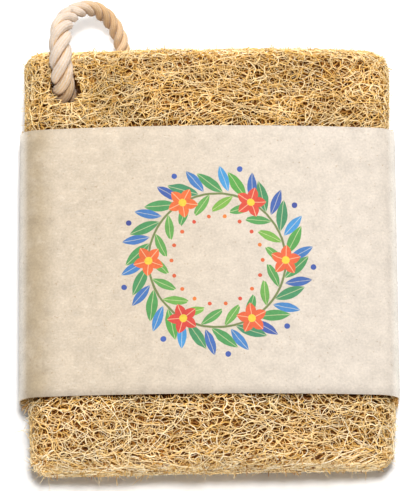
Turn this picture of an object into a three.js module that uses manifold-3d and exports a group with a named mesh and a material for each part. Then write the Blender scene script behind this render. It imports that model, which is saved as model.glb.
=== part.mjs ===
// A flat scrubbing pad cut from a dried loofah gourd, in millimetres, lying on its back with +Z up.
// X runs across the pad, Y along it towards the hanging cord, and the printed side faces +Z.
// Three pieces: the fibre pad, the paper sleeve glued round its middle, and a laid cotton cord
// that goes through a hole near one corner and over the end of the pad as a hanging loop.
import * as THREE from "three";
import { mergeVertices } from "three/addons/utils/BufferGeometryUtils.js";
import Module from "manifold-3d";

const wasm = await Module();
wasm.setup();

// Pad: a slab with a flat back, a crowned front and rounded edges.
const PAD_WIDTH = 120;
const PAD_LENGTH = 140;
const PAD_SIDE_THICKNESS = 21.5;
const PAD_CROWN = 5.2;
const PAD_SIDE_RADIUS = 9;
const PAD_END_RADIUS = 6;
const PAD_BACK = 0.6;
const PINCH = 0.5; // how far the sleeve presses the pad in
const PINCH_RUN = 3; // the pad swells out again over this length
const LEFT_DRAW_IN = 1.7; // how far the left side is drawn in at the lower end
const LOW_END_SKEW = 1.8; // how much shorter the right side is than the left

// Raised net of fibres: rows of six-sided meshes whose rims stand proud of their middles.
const NET_SEED = 20417;
const MESHES_ROUND = 46;
const OPEN_ROW = 2.6; // row height where the pad is bare
const HIDDEN_ROW = 9; // row height under the sleeve
const TUCK = 2; // the close rows go this far in under the sleeve
const END_ROW = 3.2; // row height on the two cut ends
const MESH_DEPTH = 1.5;
const HIDDEN_MESH_DEPTH = 0.6;
const SHALLOWEST = 0.7; // shares of that depth between which each mesh's middle is sunk
const DEEPEST = 1.2;
const RIM_WAVE = 0.2; // share of a row that the rims swing up and down
const STRAY = 0.22; // share of a mesh that its corners may wander
const SLIT = 2.4; // thickness of the last ring of meshes on a cut end

// Paper sleeve: one strip bent round the pad, its ends glued one over the other at the back.
const SLEEVE_HEIGHT = 88.2;
const SLEEVE_CENTRE_Y = -2.15;
const PAPER = 0.4;
const SLEEVE_GAP = 0.3;
const SLEEVE_SLACK = 0.8; // how far the sleeve stands off each side of the pad
const SLEEVE_FOLD_RADIUS = 6;
const FOLD_STEPS = 8;
const FRONT_STEPS = 10; // the crowned front is bent in this many steps
const LAP_START_X = 14;
const LAP_END_X = 30;

// Hanging cord: a plain tube along the cord's route, thicker in front, where the strands are loose.
const CORD_FRONT_RADIUS = 3.7;
const CORD_BACK_RADIUS = 2.6;
const CORD_THICKEST = 0.11; // share of the route at which the cord is thickest
const CORD_SWELL = [0.25, 0.95]; // nearness to that place at which it starts to swell and is full
const CORD_SIDES = 12;
const CORD_STEPS = 44;
const CORD_JOINT = 0.5; // gap between the two ends, which meet inside the hole
const CORD_ROOM = 0.45;
const ROOM_SIDES = 8;
const ROOM_STEPS = 40;
const HOLE_AT = [-45.3, 55.3];
const HOLE_RADIUS = 4.4;
const HOLE_BOTTOM = 15;
const HOLE_SIDES = 14;
const HOLE_TOP = 40;
const CORD_ROUTE = [
  [-46.4, 55.5, 15.6], // inside the hole, where the ends meet
  [-46.8, 56.5, 20.6],
  [-47.0, 58.8, 24.4], // out of the front
  [-47.3, 62.1, 27.1],
  [-47.5, 65.9, 28.6],
  [-47.6, 70.1, 28.7], // over the end of the pad
  [-47.4, 74.3, 27.5],
  [-46.5, 78.1, 25.1],
  [-44.1, 81.6, 22.2],
  [-40.5, 84.2, 19.1],
  [-37.0, 85.0, 16.0], // far end of the loop
  [-34.0, 84.2, 13.0],
  [-31.5, 82.3, 10.4],
  [-29.7, 79.7, 8.1],
  [-28.2, 75.9, 6.2],
  [-28.0, 71.8, 4.7], // under the back of the pad
  [-29.4, 67.3, 3.6],
  [-32.4, 63.3, 3.3],
  [-37.4, 59.9, 4.2],
  [-42.0, 57.7, 6.9],
  [-44.9, 56.3, 10.8], // into the hole from the back
].map((p) => new THREE.Vector3(...p));

// A small seeded generator, so the net is the same at every build.
function seeded(seed) {
  let state = seed >>> 0;
  return () => {
    state = (state + 0x6d2b79f5) >>> 0;
    let t = Math.imul(state ^ (state >>> 15), 1 | state);
    t = (t + Math.imul(t ^ (t >>> 7), 61 | t)) ^ t;
    return ((t ^ (t >>> 14)) >>> 0) / 4294967296;
  };
}

// Point at the share u of the way round a rounded rectangle, from its left middle along its lower side.
function roundedRectangle(u, halfWidth, halfHeight, radius) {
  const flat = 2 * (halfWidth - radius);
  const upright = 2 * (halfHeight - radius);
  const arc = (Math.PI / 2) * radius;
  const legs = [upright / 2, arc, flat, arc, upright, arc, flat, arc, upright / 2];
  let left = u * legs.reduce((sum, leg) => sum + leg, 0);
  let at = new THREE.Vector2(-halfWidth, 0);
  let heading = -Math.PI / 2;
  for (const [i, leg] of legs.entries()) {
    const run = Math.min(left, leg);
    if (i % 2 === 0) {
      at = at.add(new THREE.Vector2(Math.cos(heading), Math.sin(heading)).multiplyScalar(run));
    } else {
      const turn = run / radius;
      const side = heading + Math.PI / 2;
      const centre = at.clone().add(new THREE.Vector2(Math.cos(side), Math.sin(side)).multiplyScalar(radius));
      heading += turn;
      at = centre.add(new THREE.Vector2(Math.sin(heading), -Math.cos(heading)).multiplyScalar(radius));
    }
    left -= run;
    if (left <= 0) break;
  }
  return at;
}

// Front swell at x: nothing on the back, the full crown on the front.
function crownAt(x, heightShare) {
  return PAD_CROWN * (1 - (x / (PAD_WIDTH / 2)) ** 2) * heightShare;
}

// The pad's section, drawn in by inset on all sides, as a point at height y.
function padSection(u, inset, y) {
  const halfHeight = PAD_SIDE_THICKNESS / 2 - inset;
  const radius = Math.min(Math.max(PAD_SIDE_RADIUS - inset, 0.8), halfHeight * 0.95);
  const p = roundedRectangle(u, PAD_WIDTH / 2 - inset, halfHeight, radius);
  const share = (p.y + PAD_SIDE_THICKNESS / 2) / PAD_SIDE_THICKNESS;
  return new THREE.Vector3(p.x, y, PAD_BACK + PAD_SIDE_THICKNESS / 2 + p.y + crownAt(p.x, share));
}

const END_FACE = PAD_SIDE_THICKNESS / 2 - SLIT / 2 - PAD_END_RADIUS;
const END_ARC = (Math.PI / 2) * PAD_END_RADIUS;
const STRAIGHT = PAD_LENGTH - 2 * PAD_END_RADIUS;
const MERIDIAN = 2 * (END_FACE + END_ARC) + STRAIGHT;
const SLEEVE_LOW = SLEEVE_CENTRE_Y - SLEEVE_HEIGHT / 2;
const SLEEVE_HIGH = SLEEVE_CENTRE_Y + SLEEVE_HEIGHT / 2;

// How hard the sleeve presses at y: 0 outside it, 1 under it.
function pressAt(y) {
  const low = THREE.MathUtils.smoothstep(y, SLEEVE_LOW - PINCH_RUN, SLEEVE_LOW - 0.5);
  const high = THREE.MathUtils.smoothstep(-y, -SLEEVE_HIGH - PINCH_RUN, -SLEEVE_HIGH - 0.5);
  return low * high;
}

// Height and inset at the distance s along the pad's outline, from one cut end to the other.
function outlineAt(s) {
  const half = MERIDIAN / 2;
  const sign = s < half ? -1 : 1;
  const fromEnd = s < half ? s : MERIDIAN - s;
  if (fromEnd <= END_FACE) {
    return { y: (sign * PAD_LENGTH) / 2, inset: PAD_END_RADIUS + END_FACE - fromEnd };
  }
  if (fromEnd <= END_FACE + END_ARC) {
    const turn = (fromEnd - END_FACE) / PAD_END_RADIUS;
    const y = PAD_LENGTH / 2 - PAD_END_RADIUS * (1 - Math.cos(turn));
    return { y: sign * y, inset: PAD_END_RADIUS * (1 - Math.sin(turn)) };
  }
  const y = sign * (PAD_LENGTH / 2 - PAD_END_RADIUS - (fromEnd - END_FACE - END_ARC));
  return { y, inset: PINCH * pressAt(y) };
}

// The pad was cut by hand: its left side draws in towards the lower end, which is a little skew.
function asCut(p) {
  const down = THREE.MathUtils.smoothstep(-p.y, -SLEEVE_HIGH, -SLEEVE_LOW);
  const past = THREE.MathUtils.smoothstep(-p.y, -SLEEVE_LOW, PAD_LENGTH / 2);
  const narrower = p.x < 0 ? (2 * LEFT_DRAW_IN * down) / PAD_WIDTH : 0;
  const across = p.x / PAD_WIDTH + 0.5;
  return p.set(p.x * (1 - narrower), p.y + LOW_END_SKEW * across * past, p.z);
}

// Point on the pad at (u, s), sunk by depth along the surface's own inward direction.
function padPoint(u, s, depth = 0) {
  const at = (uu, ss) => {
    const { y, inset } = outlineAt(ss);
    return asCut(padSection(((uu % 1) + 1) % 1, inset, y));
  };
  const p = at(u, s);
  if (!depth) return p;
  const du = at(u + 0.002, s).sub(at(u - 0.002, s));
  const ds = at(u, Math.min(s + 0.6, MERIDIAN)).sub(at(u, Math.max(s - 0.6, 0)));
  return p.addScaledVector(ds.cross(du).normalize(), -depth);
}

// Row lines of the net along the outline: close on the bare pad, wide under the sleeve.
function netLines() {
  const lines = [];
  const cut = END_FACE + END_ARC * 0.5;
  const lengthOf = (y) => END_FACE + END_ARC + STRAIGHT / 2 + y;
  const bareLow = lengthOf(SLEEVE_LOW + TUCK);
  const bareHigh = lengthOf(SLEEVE_HIGH - TUCK);
  const stretches = [
    [0, cut, END_ROW],
    [cut, bareLow, OPEN_ROW],
    [bareLow, bareHigh, HIDDEN_ROW],
    [bareHigh, MERIDIAN - cut, OPEN_ROW],
    [MERIDIAN - cut, MERIDIAN, END_ROW],
  ];
  for (const [from, to, row] of stretches) {
    const rows = Math.round((to - from) / row);
    for (let k = 0; k < rows; k += 1) lines.push(from + ((to - from) * k) / rows);
  }
  lines.push(MERIDIAN);
  return lines;
}

// The pad as one closed skin: a rim line between each two rows of meshes, and a sunk middle in each mesh.
function padGeometry() {
  const random = seeded(NET_SEED);
  const lines = netLines();
  const corners = 2 * MESHES_ROUND;
  const position = [];
  const index = [];
  const add = (p) => position.push(p.x, p.y, p.z) / 3 - 1;
  const rims = lines.map((s, k) => {
    const last = k === 0 || k === lines.length - 1;
    const row = last ? 0 : Math.min(s - lines[k - 1], lines[k + 1] - s);
    return Array.from({ length: corners }, (_, m) => {
      const swing = (m + k) % 2 === 0 ? RIM_WAVE : -RIM_WAVE;
      const wander = last ? [0, 0] : [random() - 0.5, random() - 0.5];
      const u = (m + 2 * STRAY * wander[0]) / corners;
      return add(padPoint(u, s + row * (swing + STRAY * wander[1])));
    });
  });
  for (let k = 0; k + 1 < lines.length; k += 1) {
    const middle = (lines[k] + lines[k + 1]) / 2;
    const { y } = outlineAt(middle);
    const hidden = y > SLEEVE_LOW && y < SLEEVE_HIGH;
    const depth = hidden ? HIDDEN_MESH_DEPTH : MESH_DEPTH;
    for (let c = 0; c < MESHES_ROUND; c += 1) {
      const m = 2 * c + (k % 2);
      const around = [m, m + 1, m + 2].map((i) => i % corners);
      const ring = [...around.map((i) => rims[k][i]), ...around.reverse().map((i) => rims[k + 1][i])];
      const pit = add(padPoint((m + 1) / corners, middle, THREE.MathUtils.lerp(SHALLOWEST, DEEPEST, random()) * depth));
      ring.forEach((v, i) => index.push(pit, ring[(i + 1) % ring.length], v));
    }
  }
  const closeEnd = (rim, flip) => {
    for (let i = 0; i < MESHES_ROUND; i += 1) {
      const back = (corners - i) % corners;
      const quad = [rim[i], rim[i + 1], rim[corners - i - 1], rim[back]];
      const faces = i === 0 ? [[0, 1, 2]] : i === MESHES_ROUND - 1 ? [[0, 1, 3]] : [[0, 1, 2], [0, 2, 3]];
      for (const f of faces) index.push(...(flip ? [...f].reverse() : f).map((j) => quad[j]));
    }
  };
  closeEnd(rims[0], false);
  closeEnd(rims[rims.length - 1], true);
  const geometry = new THREE.BufferGeometry();
  geometry.setAttribute("position", new THREE.Float32BufferAttribute(position, 3));
  geometry.setIndex(index);
  return geometry;
}

// The cord's route as a closed curve; the cord itself stops short of a full round by the joint.
const cordCurve = new THREE.CatmullRomCurve3(CORD_ROUTE, true, "centripetal");
const cordLength = cordCurve.getLength();

// Cord radius at the share t of the route: thick in front, slim behind.
function cordRadiusAt(t) {
  const near = 0.5 + 0.5 * Math.cos(2 * Math.PI * (t - CORD_THICKEST));
  const front = THREE.MathUtils.smoothstep(near, ...CORD_SWELL);
  return THREE.MathUtils.lerp(CORD_BACK_RADIUS, CORD_FRONT_RADIUS, front);
}

// A tube along the cord's route, as a straight bar of unit radius that is bent and swelled to it.
function alongCord(sides, steps, radiusAt) {
  const outline = Array.from({ length: sides }, (_, i) => {
    const angle = (2 * Math.PI * i) / sides;
    return new THREE.Vector2(Math.cos(angle), Math.sin(angle));
  });
  const bar = new THREE.ExtrudeGeometry(new THREE.Shape(outline), { depth: 1, steps, bevelEnabled: false });
  const frames = cordCurve.computeFrenetFrames(steps, true);
  const share = 1 - CORD_JOINT / cordLength;
  const points = bar.getAttribute("position");
  const p = new THREE.Vector3();
  for (let i = 0; i < points.count; i += 1) {
    p.fromBufferAttribute(points, i);
    const step = Math.round(p.z * steps);
    const t = (step / steps) * share;
    const across = new THREE.Vector2(p.x, p.y).multiplyScalar(radiusAt(t));
    p.copy(cordCurve.getPointAt(t));
    p.addScaledVector(frames.normals[step], across.x).addScaledVector(frames.binormals[step], across.y);
    points.setXYZ(i, p.x, p.y, p.z);
  }
  return bar;
}

// The room that the cord takes in the pad: its own path, a little wider.
function cordRoomGeometry() {
  const widen = 1 / Math.cos(Math.PI / ROOM_SIDES);
  return alongCord(ROOM_SIDES, ROOM_STEPS, (t) => widen * (cordRadiusAt(t) + CORD_ROOM));
}

// The mouth of the punched hole, from the middle of the pad up through its front.
function punchGeometry() {
  const height = HOLE_TOP - HOLE_BOTTOM;
  const punch = new THREE.CylinderGeometry(HOLE_RADIUS, HOLE_RADIUS, height, HOLE_SIDES);
  punch.rotateX(Math.PI / 2);
  return punch.translate(...HOLE_AT, HOLE_BOTTOM + height / 2);
}

// Paper sleeve: a flat strip's section, its two ends lapped on the back, stretched along Y.
function sleeveGeometry() {
  const innerHalf = PAD_WIDTH / 2 + SLEEVE_SLACK;
  const front = PAD_BACK + PAD_SIDE_THICKNESS - PINCH + SLEEVE_GAP;
  const contour = (out, leftBack, rightBack, stepX) => {
    const radius = SLEEVE_FOLD_RADIUS + out;
    const half = innerHalf + out;
    const top = front + out;
    const arc = (cx, cz, from) =>
      Array.from({ length: FOLD_STEPS + 1 }, (_, i) => {
        const a = from + ((Math.PI / 2) * i) / FOLD_STEPS;
        return [cx + radius * Math.cos(a), cz + radius * Math.sin(a)];
      });
    const across = Array.from({ length: FRONT_STEPS - 1 }, (_, i) => {
      const share = (i + 1) / FRONT_STEPS;
      return [(1 - 2 * share) * (half - radius), top];
    });
    const flat = [
      [stepX, leftBack],
      [stepX, rightBack],
      ...arc(half - radius, rightBack + radius, -Math.PI / 2),
      ...arc(half - radius, top - radius, 0),
      ...across,
      ...arc(-half + radius, top - radius, Math.PI / 2),
      ...arc(-half + radius, leftBack + radius, Math.PI),
    ];
    return flat.map(([x, z]) => new THREE.Vector2(x, z + crownAt(x, Math.max(0, z / top))));
  };
  const shape = new THREE.Shape(contour(PAPER, 0, PAPER, LAP_END_X));
  shape.holes.push(new THREE.Path(contour(0, PAPER, 2 * PAPER, LAP_START_X)));
  const sleeve = new THREE.ExtrudeGeometry(shape, { depth: SLEEVE_HEIGHT, bevelEnabled: false });
  sleeve.rotateX(Math.PI / 2);
  return sleeve.translate(0, SLEEVE_HIGH, 0);
}

// A closed three.js geometry as a solid that can be cut.
function solidOf(geometry) {
  const bare = geometry.clone();
  bare.deleteAttribute("normal");
  bare.deleteAttribute("uv");
  const merged = mergeVertices(bare, 1e-4);
  const vertProperties = new Float32Array(merged.getAttribute("position").array);
  const triVerts = new Uint32Array(merged.getIndex().array);
  return new wasm.Manifold(new wasm.Mesh({ numProp: 3, vertProperties, triVerts }));
}

// The largest body of a solid, as a three.js geometry.
function geometryOf(solid) {
  const [body] = solid.decompose().sort((a, b) => b.volume() - a.volume());
  const mesh = body.getMesh();
  const geometry = new THREE.BufferGeometry();
  geometry.setAttribute("position", new THREE.BufferAttribute(mesh.vertProperties, 3));
  geometry.setIndex(new THREE.BufferAttribute(mesh.triVerts, 1));
  geometry.computeVertexNormals();
  return geometry;
}

function piece(name, geometry, color, roughness) {
  const mesh = new THREE.Mesh(geometry, new THREE.MeshStandardMaterial({ color, roughness, metalness: 0 }));
  mesh.name = name;
  return mesh;
}

const cordRoom = solidOf(cordRoomGeometry()).add(solidOf(punchGeometry()));
const padSolid = solidOf(padGeometry()).subtract(cordRoom);

const loofahPad = new THREE.Group();
loofahPad.add(piece("loofah_pad", geometryOf(padSolid), 0xc9a267, 0.85));
loofahPad.add(piece("paper_sleeve", sleeveGeometry(), 0xe9d9c3, 0.9));
loofahPad.add(piece("hanging_cord", alongCord(CORD_SIDES, CORD_STEPS, cordRadiusAt), 0xe6d3bb, 0.95));

export default loofahPad;
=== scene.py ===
"""Dress a flat loofah scrubbing pad: its net of fibres, its paper sleeve and its cord loop.

The pad lies on its back with +Z up, +X across it and +Y towards the cord. Shapes are worked out in
millimetres and stored in metres, in the same place as the solids that they stand for.
"""

from __future__ import annotations

import logging
import math
from dataclasses import dataclass, field
from enum import Enum

import bpy
import numpy as np
from mathutils import Matrix, Vector
from mathutils.geometry import delaunay_2d_cdt

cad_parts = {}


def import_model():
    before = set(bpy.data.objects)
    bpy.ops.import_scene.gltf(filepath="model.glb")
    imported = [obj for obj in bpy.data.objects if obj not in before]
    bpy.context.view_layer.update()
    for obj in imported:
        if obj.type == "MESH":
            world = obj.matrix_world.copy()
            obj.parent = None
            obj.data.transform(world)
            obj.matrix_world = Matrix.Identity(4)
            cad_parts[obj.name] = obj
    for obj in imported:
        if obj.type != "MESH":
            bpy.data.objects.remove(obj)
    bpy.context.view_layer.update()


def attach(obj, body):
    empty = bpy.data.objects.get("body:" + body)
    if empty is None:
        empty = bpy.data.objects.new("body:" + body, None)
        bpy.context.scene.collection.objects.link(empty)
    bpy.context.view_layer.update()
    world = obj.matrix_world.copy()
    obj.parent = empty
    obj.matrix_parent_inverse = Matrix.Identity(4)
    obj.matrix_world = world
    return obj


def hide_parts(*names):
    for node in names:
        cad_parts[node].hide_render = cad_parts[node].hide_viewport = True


LOG = logging.getLogger("loofah")
MM = 0.001
BODY = "root"
FIBRE_SIDES = 3

Array = np.ndarray
Sockets = bpy.types.NodeSocket


class Slot(Enum):
    """Material slots of the record."""

    LOOFAH = "loofah"
    PAPER = "paper"
    CORD = "cord"


class Solid(Enum):
    """Solids that the dressed pieces stand for."""

    PAD = "loofah_pad"
    SLEEVE = "paper_sleeve"
    CORD = "hanging_cord"


class Zone(Enum):
    """Stretches of the pad's outline, from one cut end to the other."""

    LOW = "low"
    HIDDEN = "hidden"
    HIGH = "high"

    @property
    def number(self) -> int:
        """Place of the zone in the row, which seeds what grows there."""
        return list(Zone).index(self)


def srgb(red: int, green: int, blue: int) -> tuple[float, float, float, float]:
    """Turn a screen colour into the linear one that shaders take.

    Args:
        red: Red, 0 to 255.
        green: Green, 0 to 255.
        blue: Blue, 0 to 255.

    Returns:
        Linear red, green and blue, with full alpha.
    """
    knee, slope, offset, gamma = 0.04045, 12.92, 0.055, 2.4

    def channel(value: int) -> float:
        """Linear value of one channel."""
        share = value / 255
        return share / slope if share <= knee else ((share + offset) / (1 + offset)) ** gamma

    return channel(red), channel(green), channel(blue), 1.0


def unit(vectors: Array) -> Array:
    """Scale vectors to length one.

    Args:
        vectors: Rows of vectors.

    Returns:
        The same directions at length one.
    """
    return vectors / np.maximum(np.linalg.norm(vectors, axis=-1, keepdims=True), 1e-9)


def smoothstep(value: Array, low: float, high: float) -> Array:
    """Rise from 0 at low to 1 at high along an S.

    Args:
        value: Where to read the curve.
        low: Where it leaves 0.
        high: Where it reaches 1.

    Returns:
        The curve's values.
    """
    share = np.clip((value - low) / (high - low), 0, 1)
    return share * share * (3 - 2 * share)


@dataclass(frozen=True)
class Ripple:
    """A smooth random field: a few plane waves of one wavelength, in seeded directions."""

    seed: int
    wavelength: float
    waves: int = 7
    uneven: tuple[float, float] = (0.7, 1.5)

    def at(self, points: Array) -> Array:
        """Read the field.

        Args:
            points: Rows of coordinates in millimetres.

        Returns:
            One value a row, mostly between -1 and 1.
        """
        rng = np.random.default_rng(self.seed)
        headings = unit(rng.normal(size=(self.waves, points.shape[1])))
        pitch = self.wavelength * rng.uniform(*self.uneven, (self.waves, 1))
        phase = rng.uniform(0, 2 * math.pi, self.waves)
        turns = points @ (2 * math.pi * headings / pitch).T + phase
        return np.sin(turns).sum(axis=1) / math.sqrt(self.waves)


@dataclass
class MeshBuild:
    """Points, faces and a tint of a mesh that is being put together, in millimetres."""

    points: list[Array] = field(default_factory=list)
    faces: list[Array] = field(default_factory=list)
    tint: list[Array] = field(default_factory=list)
    count: int = 0

    def add(self, points: Array, faces: list[Array], tint: Array | float = 0.5) -> None:
        """Add a lump of mesh.

        Args:
            points: Rows of points.
            faces: Blocks of faces, each block with one number of corners, counted from this lump.
            tint: One value a point, or one for all.
        """
        self.points.append(points)
        self.faces.extend(block + self.count for block in faces if len(block))
        self.tint.append(np.broadcast_to(tint, len(points)))
        self.count += len(points)

    def triangles(self) -> int:
        """Number of triangles that the faces make."""
        return sum(len(block) * (block.shape[1] - 2) for block in self.faces)

    def finish(self, name: str) -> bpy.types.Object:
        """Make the object.

        Args:
            name: Its name.

        Returns:
            A smooth-shaded mesh object in the scene, with the tint as an attribute.
        """
        mesh = bpy.data.meshes.new(name)
        points = np.concatenate(self.points) * MM
        corners = np.concatenate([block.ravel() for block in self.faces])
        sizes = np.concatenate([np.full(len(block), block.shape[1]) for block in self.faces])
        starts = np.concatenate(([0], np.cumsum(sizes)[:-1]))
        mesh.vertices.add(len(points))
        mesh.vertices.foreach_set("co", points.astype(np.float32).ravel())
        mesh.loops.add(len(corners))
        mesh.loops.foreach_set("vertex_index", corners.astype(np.int32))
        mesh.polygons.add(len(sizes))
        mesh.polygons.foreach_set("loop_start", starts.astype(np.int32))
        mesh.update(calc_edges=True)
        mesh.polygons.foreach_set("use_smooth", np.ones(len(sizes), dtype=bool))
        layer = mesh.attributes.new("tint", "FLOAT", "POINT")
        layer.data.foreach_set("value", np.concatenate(self.tint).astype(np.float32))
        obj = bpy.data.objects.new(name, mesh)
        bpy.context.scene.collection.objects.link(obj)
        return obj


def place(obj: bpy.types.Object, material: bpy.types.Material, solid: Solid) -> None:
    """Give a piece its finish and its place in the part.

    Args:
        obj: The piece.
        material: Its material.
        solid: The solid that the piece stands for.
    """
    obj.data.materials.append(material)
    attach(obj, BODY)
    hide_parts(solid.value)


@dataclass(frozen=True)
class Strand:
    """One fibre: its middle line, which way is up along it, its radius and its tint."""

    line: Array
    up: Array
    radius: Array
    tint: float


def add_tubes(build: MeshBuild, strands: list[Strand], darker: float = 0.0) -> None:
    """Sweep closed tubes along many fibres at once.

    Args:
        build: The mesh that takes them.
        strands: The fibres.
        darker: How much to take off their tints.
    """
    line = np.concatenate([strand.line for strand in strands])
    up = np.concatenate([strand.up for strand in strands])
    radius = np.concatenate([strand.radius for strand in strands])
    lengths = np.array([len(strand.line) for strand in strands])
    tint = np.repeat([strand.tint - darker for strand in strands], lengths)
    last = np.cumsum(lengths) - 1
    first = last - lengths + 1
    ahead = np.minimum(np.arange(len(line)) + 1, len(line) - 1)
    behind = np.maximum(np.arange(len(line)) - 1, 0)
    ahead[last] = last
    behind[first] = first
    along = unit(line[ahead] - line[behind])
    side = unit(np.cross(along, up))
    above = np.cross(side, along)
    angles = 2 * math.pi * np.arange(FIBRE_SIDES) / FIBRE_SIDES
    around = np.cos(angles)[None, :, None] * above[:, None] + np.sin(angles)[None, :, None] * side[:, None]
    points = (line[:, None] + radius[:, None, None] * around).reshape(-1, 3)
    rings = np.arange(len(line))[:, None] * FIBRE_SIDES + np.arange(FIBRE_SIDES)
    onward = np.delete(np.arange(len(line)), last)
    turned = np.roll(rings, -1, axis=1)
    walls = np.stack([rings[onward], turned[onward], turned[onward + 1], rings[onward + 1]], axis=-1)
    caps = [rings[first][:, ::-1], rings[last]]
    build.add(points, [walls.reshape(-1, 4), *caps], np.repeat(tint, FIBRE_SIDES))


@dataclass(frozen=True)
class PadForm:
    """The pad's outer form: a slab with a flat back, a crowned front and rounded edges."""

    width: float = 120.0
    length: float = 140.0
    side_thickness: float = 21.5
    crown: float = 5.2
    side_radius: float = 9.0
    end_radius: float = 6.0
    least_radius: float = 0.8
    fullest_round: float = 0.95
    back: float = 0.6
    pinch: float = 0.5
    pinch_run: tuple[float, float] = (3.0, 0.5)
    left_draw_in: float = 1.7
    low_end_skew: float = 1.8
    sleeve_low: float = -46.25
    sleeve_high: float = 41.95
    slit: float = 2.4
    floor: float = 0.25
    in_sleeve: float = 60.55
    under_fold: float = 15.8
    swell: Ripple = Ripple(seed=5, wavelength=24.0)
    swell_height: float = 0.3

    @property
    def round(self) -> float:
        """Length round the pad's section."""
        straight = 2 * (self.width + self.side_thickness - 4 * self.side_radius)
        return straight + 2 * math.pi * self.side_radius

    @property
    def end_face(self) -> float:
        """Length of the outline on the flat of a cut end."""
        return (self.side_thickness - self.slit) / 2 - self.end_radius

    @property
    def end_run(self) -> float:
        """Length of the outline on a cut end and its rounded edge."""
        return self.end_face + math.pi / 2 * self.end_radius

    @property
    def meridian(self) -> float:
        """Length of the outline from one cut end's middle to the other's."""
        return 2 * self.end_run + self.length - 2 * self.end_radius

    def along(self, y: float) -> float:
        """Distance along the outline at which the bare pad is at y."""
        return self.meridian / 2 + y

    def span(self, zone: Zone) -> tuple[float, float]:
        """Find a zone on the outline.

        Args:
            zone: The zone.

        Returns:
            Where it starts and ends along the outline, a little way under the sleeve included.
        """
        tuck, past_slit = 4.0, 0.9
        low = self.along(self.sleeve_low) + tuck
        high = self.along(self.sleeve_high) - tuck
        spans = {
            Zone.LOW: (-past_slit, low),
            Zone.HIDDEN: (low - tuck / 2, high + tuck / 2),
            Zone.HIGH: (high, self.meridian + past_slit),
        }
        return spans[zone]

    def bare(self, zone: Zone) -> tuple[float, float]:
        """Find the part of a zone that the sleeve leaves bare.

        Args:
            zone: The zone, at either end of the pad.

        Returns:
            Where that part starts and ends along the outline.
        """
        low, high = self.span(zone)
        edge = 0.6
        if zone is Zone.LOW:
            return low, self.along(self.sleeve_low) - edge
        return self.along(self.sleeve_high) + edge, high

    def _outline(self, s: Array) -> tuple[Array, Array]:
        """Height and inset at distances along the outline.

        Args:
            s: Distances from the lower cut end.

        Returns:
            The height y and how far the section is drawn in there.
        """
        sign = np.where(s < self.meridian / 2, -1.0, 1.0)
        from_end = np.where(sign < 0, s, self.meridian - s)
        turn = np.clip((from_end - self.end_face) / self.end_radius, 0, math.pi / 2)
        on_face = np.maximum(self.end_face - from_end, 0)
        past_end = np.maximum(from_end - self.end_run, 0)
        y = sign * (self.length / 2 - self.end_radius * (1 - np.cos(turn)) - past_end)
        start, full = self.pinch_run
        press = smoothstep(y, self.sleeve_low - start, self.sleeve_low - full)
        press = press * smoothstep(-y, -self.sleeve_high - start, -self.sleeve_high - full)
        return y, self.end_radius * (1 - np.sin(turn)) + on_face + self.pinch * press

    def _section(self, u: Array, inset: Array) -> tuple[Array, Array]:
        """Point of the section at the share u of the way round it.

        Args:
            u: Shares, from the left middle along the back.
            inset: How far the section is drawn in.

        Returns:
            Its x and its height over the resting plane.
        """
        half_width = self.width / 2 - inset
        half_height = self.side_thickness / 2 - inset
        radius = np.maximum(self.side_radius - inset, self.least_radius)
        radius = np.minimum(radius, half_height * self.fullest_round)
        flat = 2 * (half_width - radius)
        upright = 2 * (half_height - radius)
        arc = math.pi / 2 * radius
        legs = np.stack([upright / 2, arc, flat, arc, upright, arc, flat, arc, upright / 2])
        ends = np.cumsum(legs, axis=0)
        run = np.mod(u, 1.0) * ends[-1]
        leg = np.minimum((run[None] > ends).sum(axis=0), len(legs) - 1)
        started = np.take_along_axis(ends - legs, leg[None], axis=0)[0]
        gone = run - started
        turn = gone / radius
        east, north = half_width - radius, half_height - radius
        cos, sin = radius * np.cos(turn), radius * np.sin(turn)
        x = np.choose(leg, [-half_width, -east - cos, gone - east, east + sin, half_width,
                            east + cos, east - gone, -east - sin, -half_width])
        z = np.choose(leg, [-gone, -north - sin, -half_height, -north - cos, gone - north,
                            north + sin, half_height, north + cos, north - gone])
        share = z / self.side_thickness + 0.5
        swell = self.crown * (1 - (2 * x / self.width) ** 2) * share
        return x, self.back + self.side_thickness / 2 + z + swell

    def _skin(self, a: Array, s: Array) -> Array:
        """Find points of the skin, drawn in and skewed as the pad was cut.

        Args:
            a: Distances round the section.
            s: Distances along the outline.

        Returns:
            Rows of points.
        """
        y, inset = self._outline(s)
        x, z = self._section(a / self.round, inset)
        down = smoothstep(-y, -self.sleeve_high, -self.sleeve_low)
        past = smoothstep(-y, -self.sleeve_low, self.length / 2)
        narrower = np.where(x < 0, 2 * self.left_draw_in * down / self.width, 0)
        skew = self.low_end_skew * (x / self.width + 0.5) * past
        return np.stack([x * (1 - narrower), y + skew, z], axis=-1)

    def points(self, a: Array, s: Array, depth: Array | float) -> tuple[Array, Array]:
        """Points on or in the pad.

        Args:
            a: Distances round the section.
            s: Distances along the outline.
            depth: How far in from the skin, along its own inward direction.

        Returns:
            The points, kept off the resting surface, and the outward directions there.
        """
        da, ds = 0.5, 0.6
        across = self._skin(a + da, s) - self._skin(a - da, s)
        onward = self._skin(a, s + ds) - self._skin(a, s - ds)
        out = unit(np.cross(onward, across))
        skin = self._skin(a, s)
        sink = np.asarray(depth) - self.swell_height * (self.swell.at(skin) - 1)
        placed = skin - out * np.broadcast_to(sink, len(skin))[:, None]
        placed[:, 2] = np.maximum(placed[:, 2], self.floor)
        return placed, out


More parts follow.
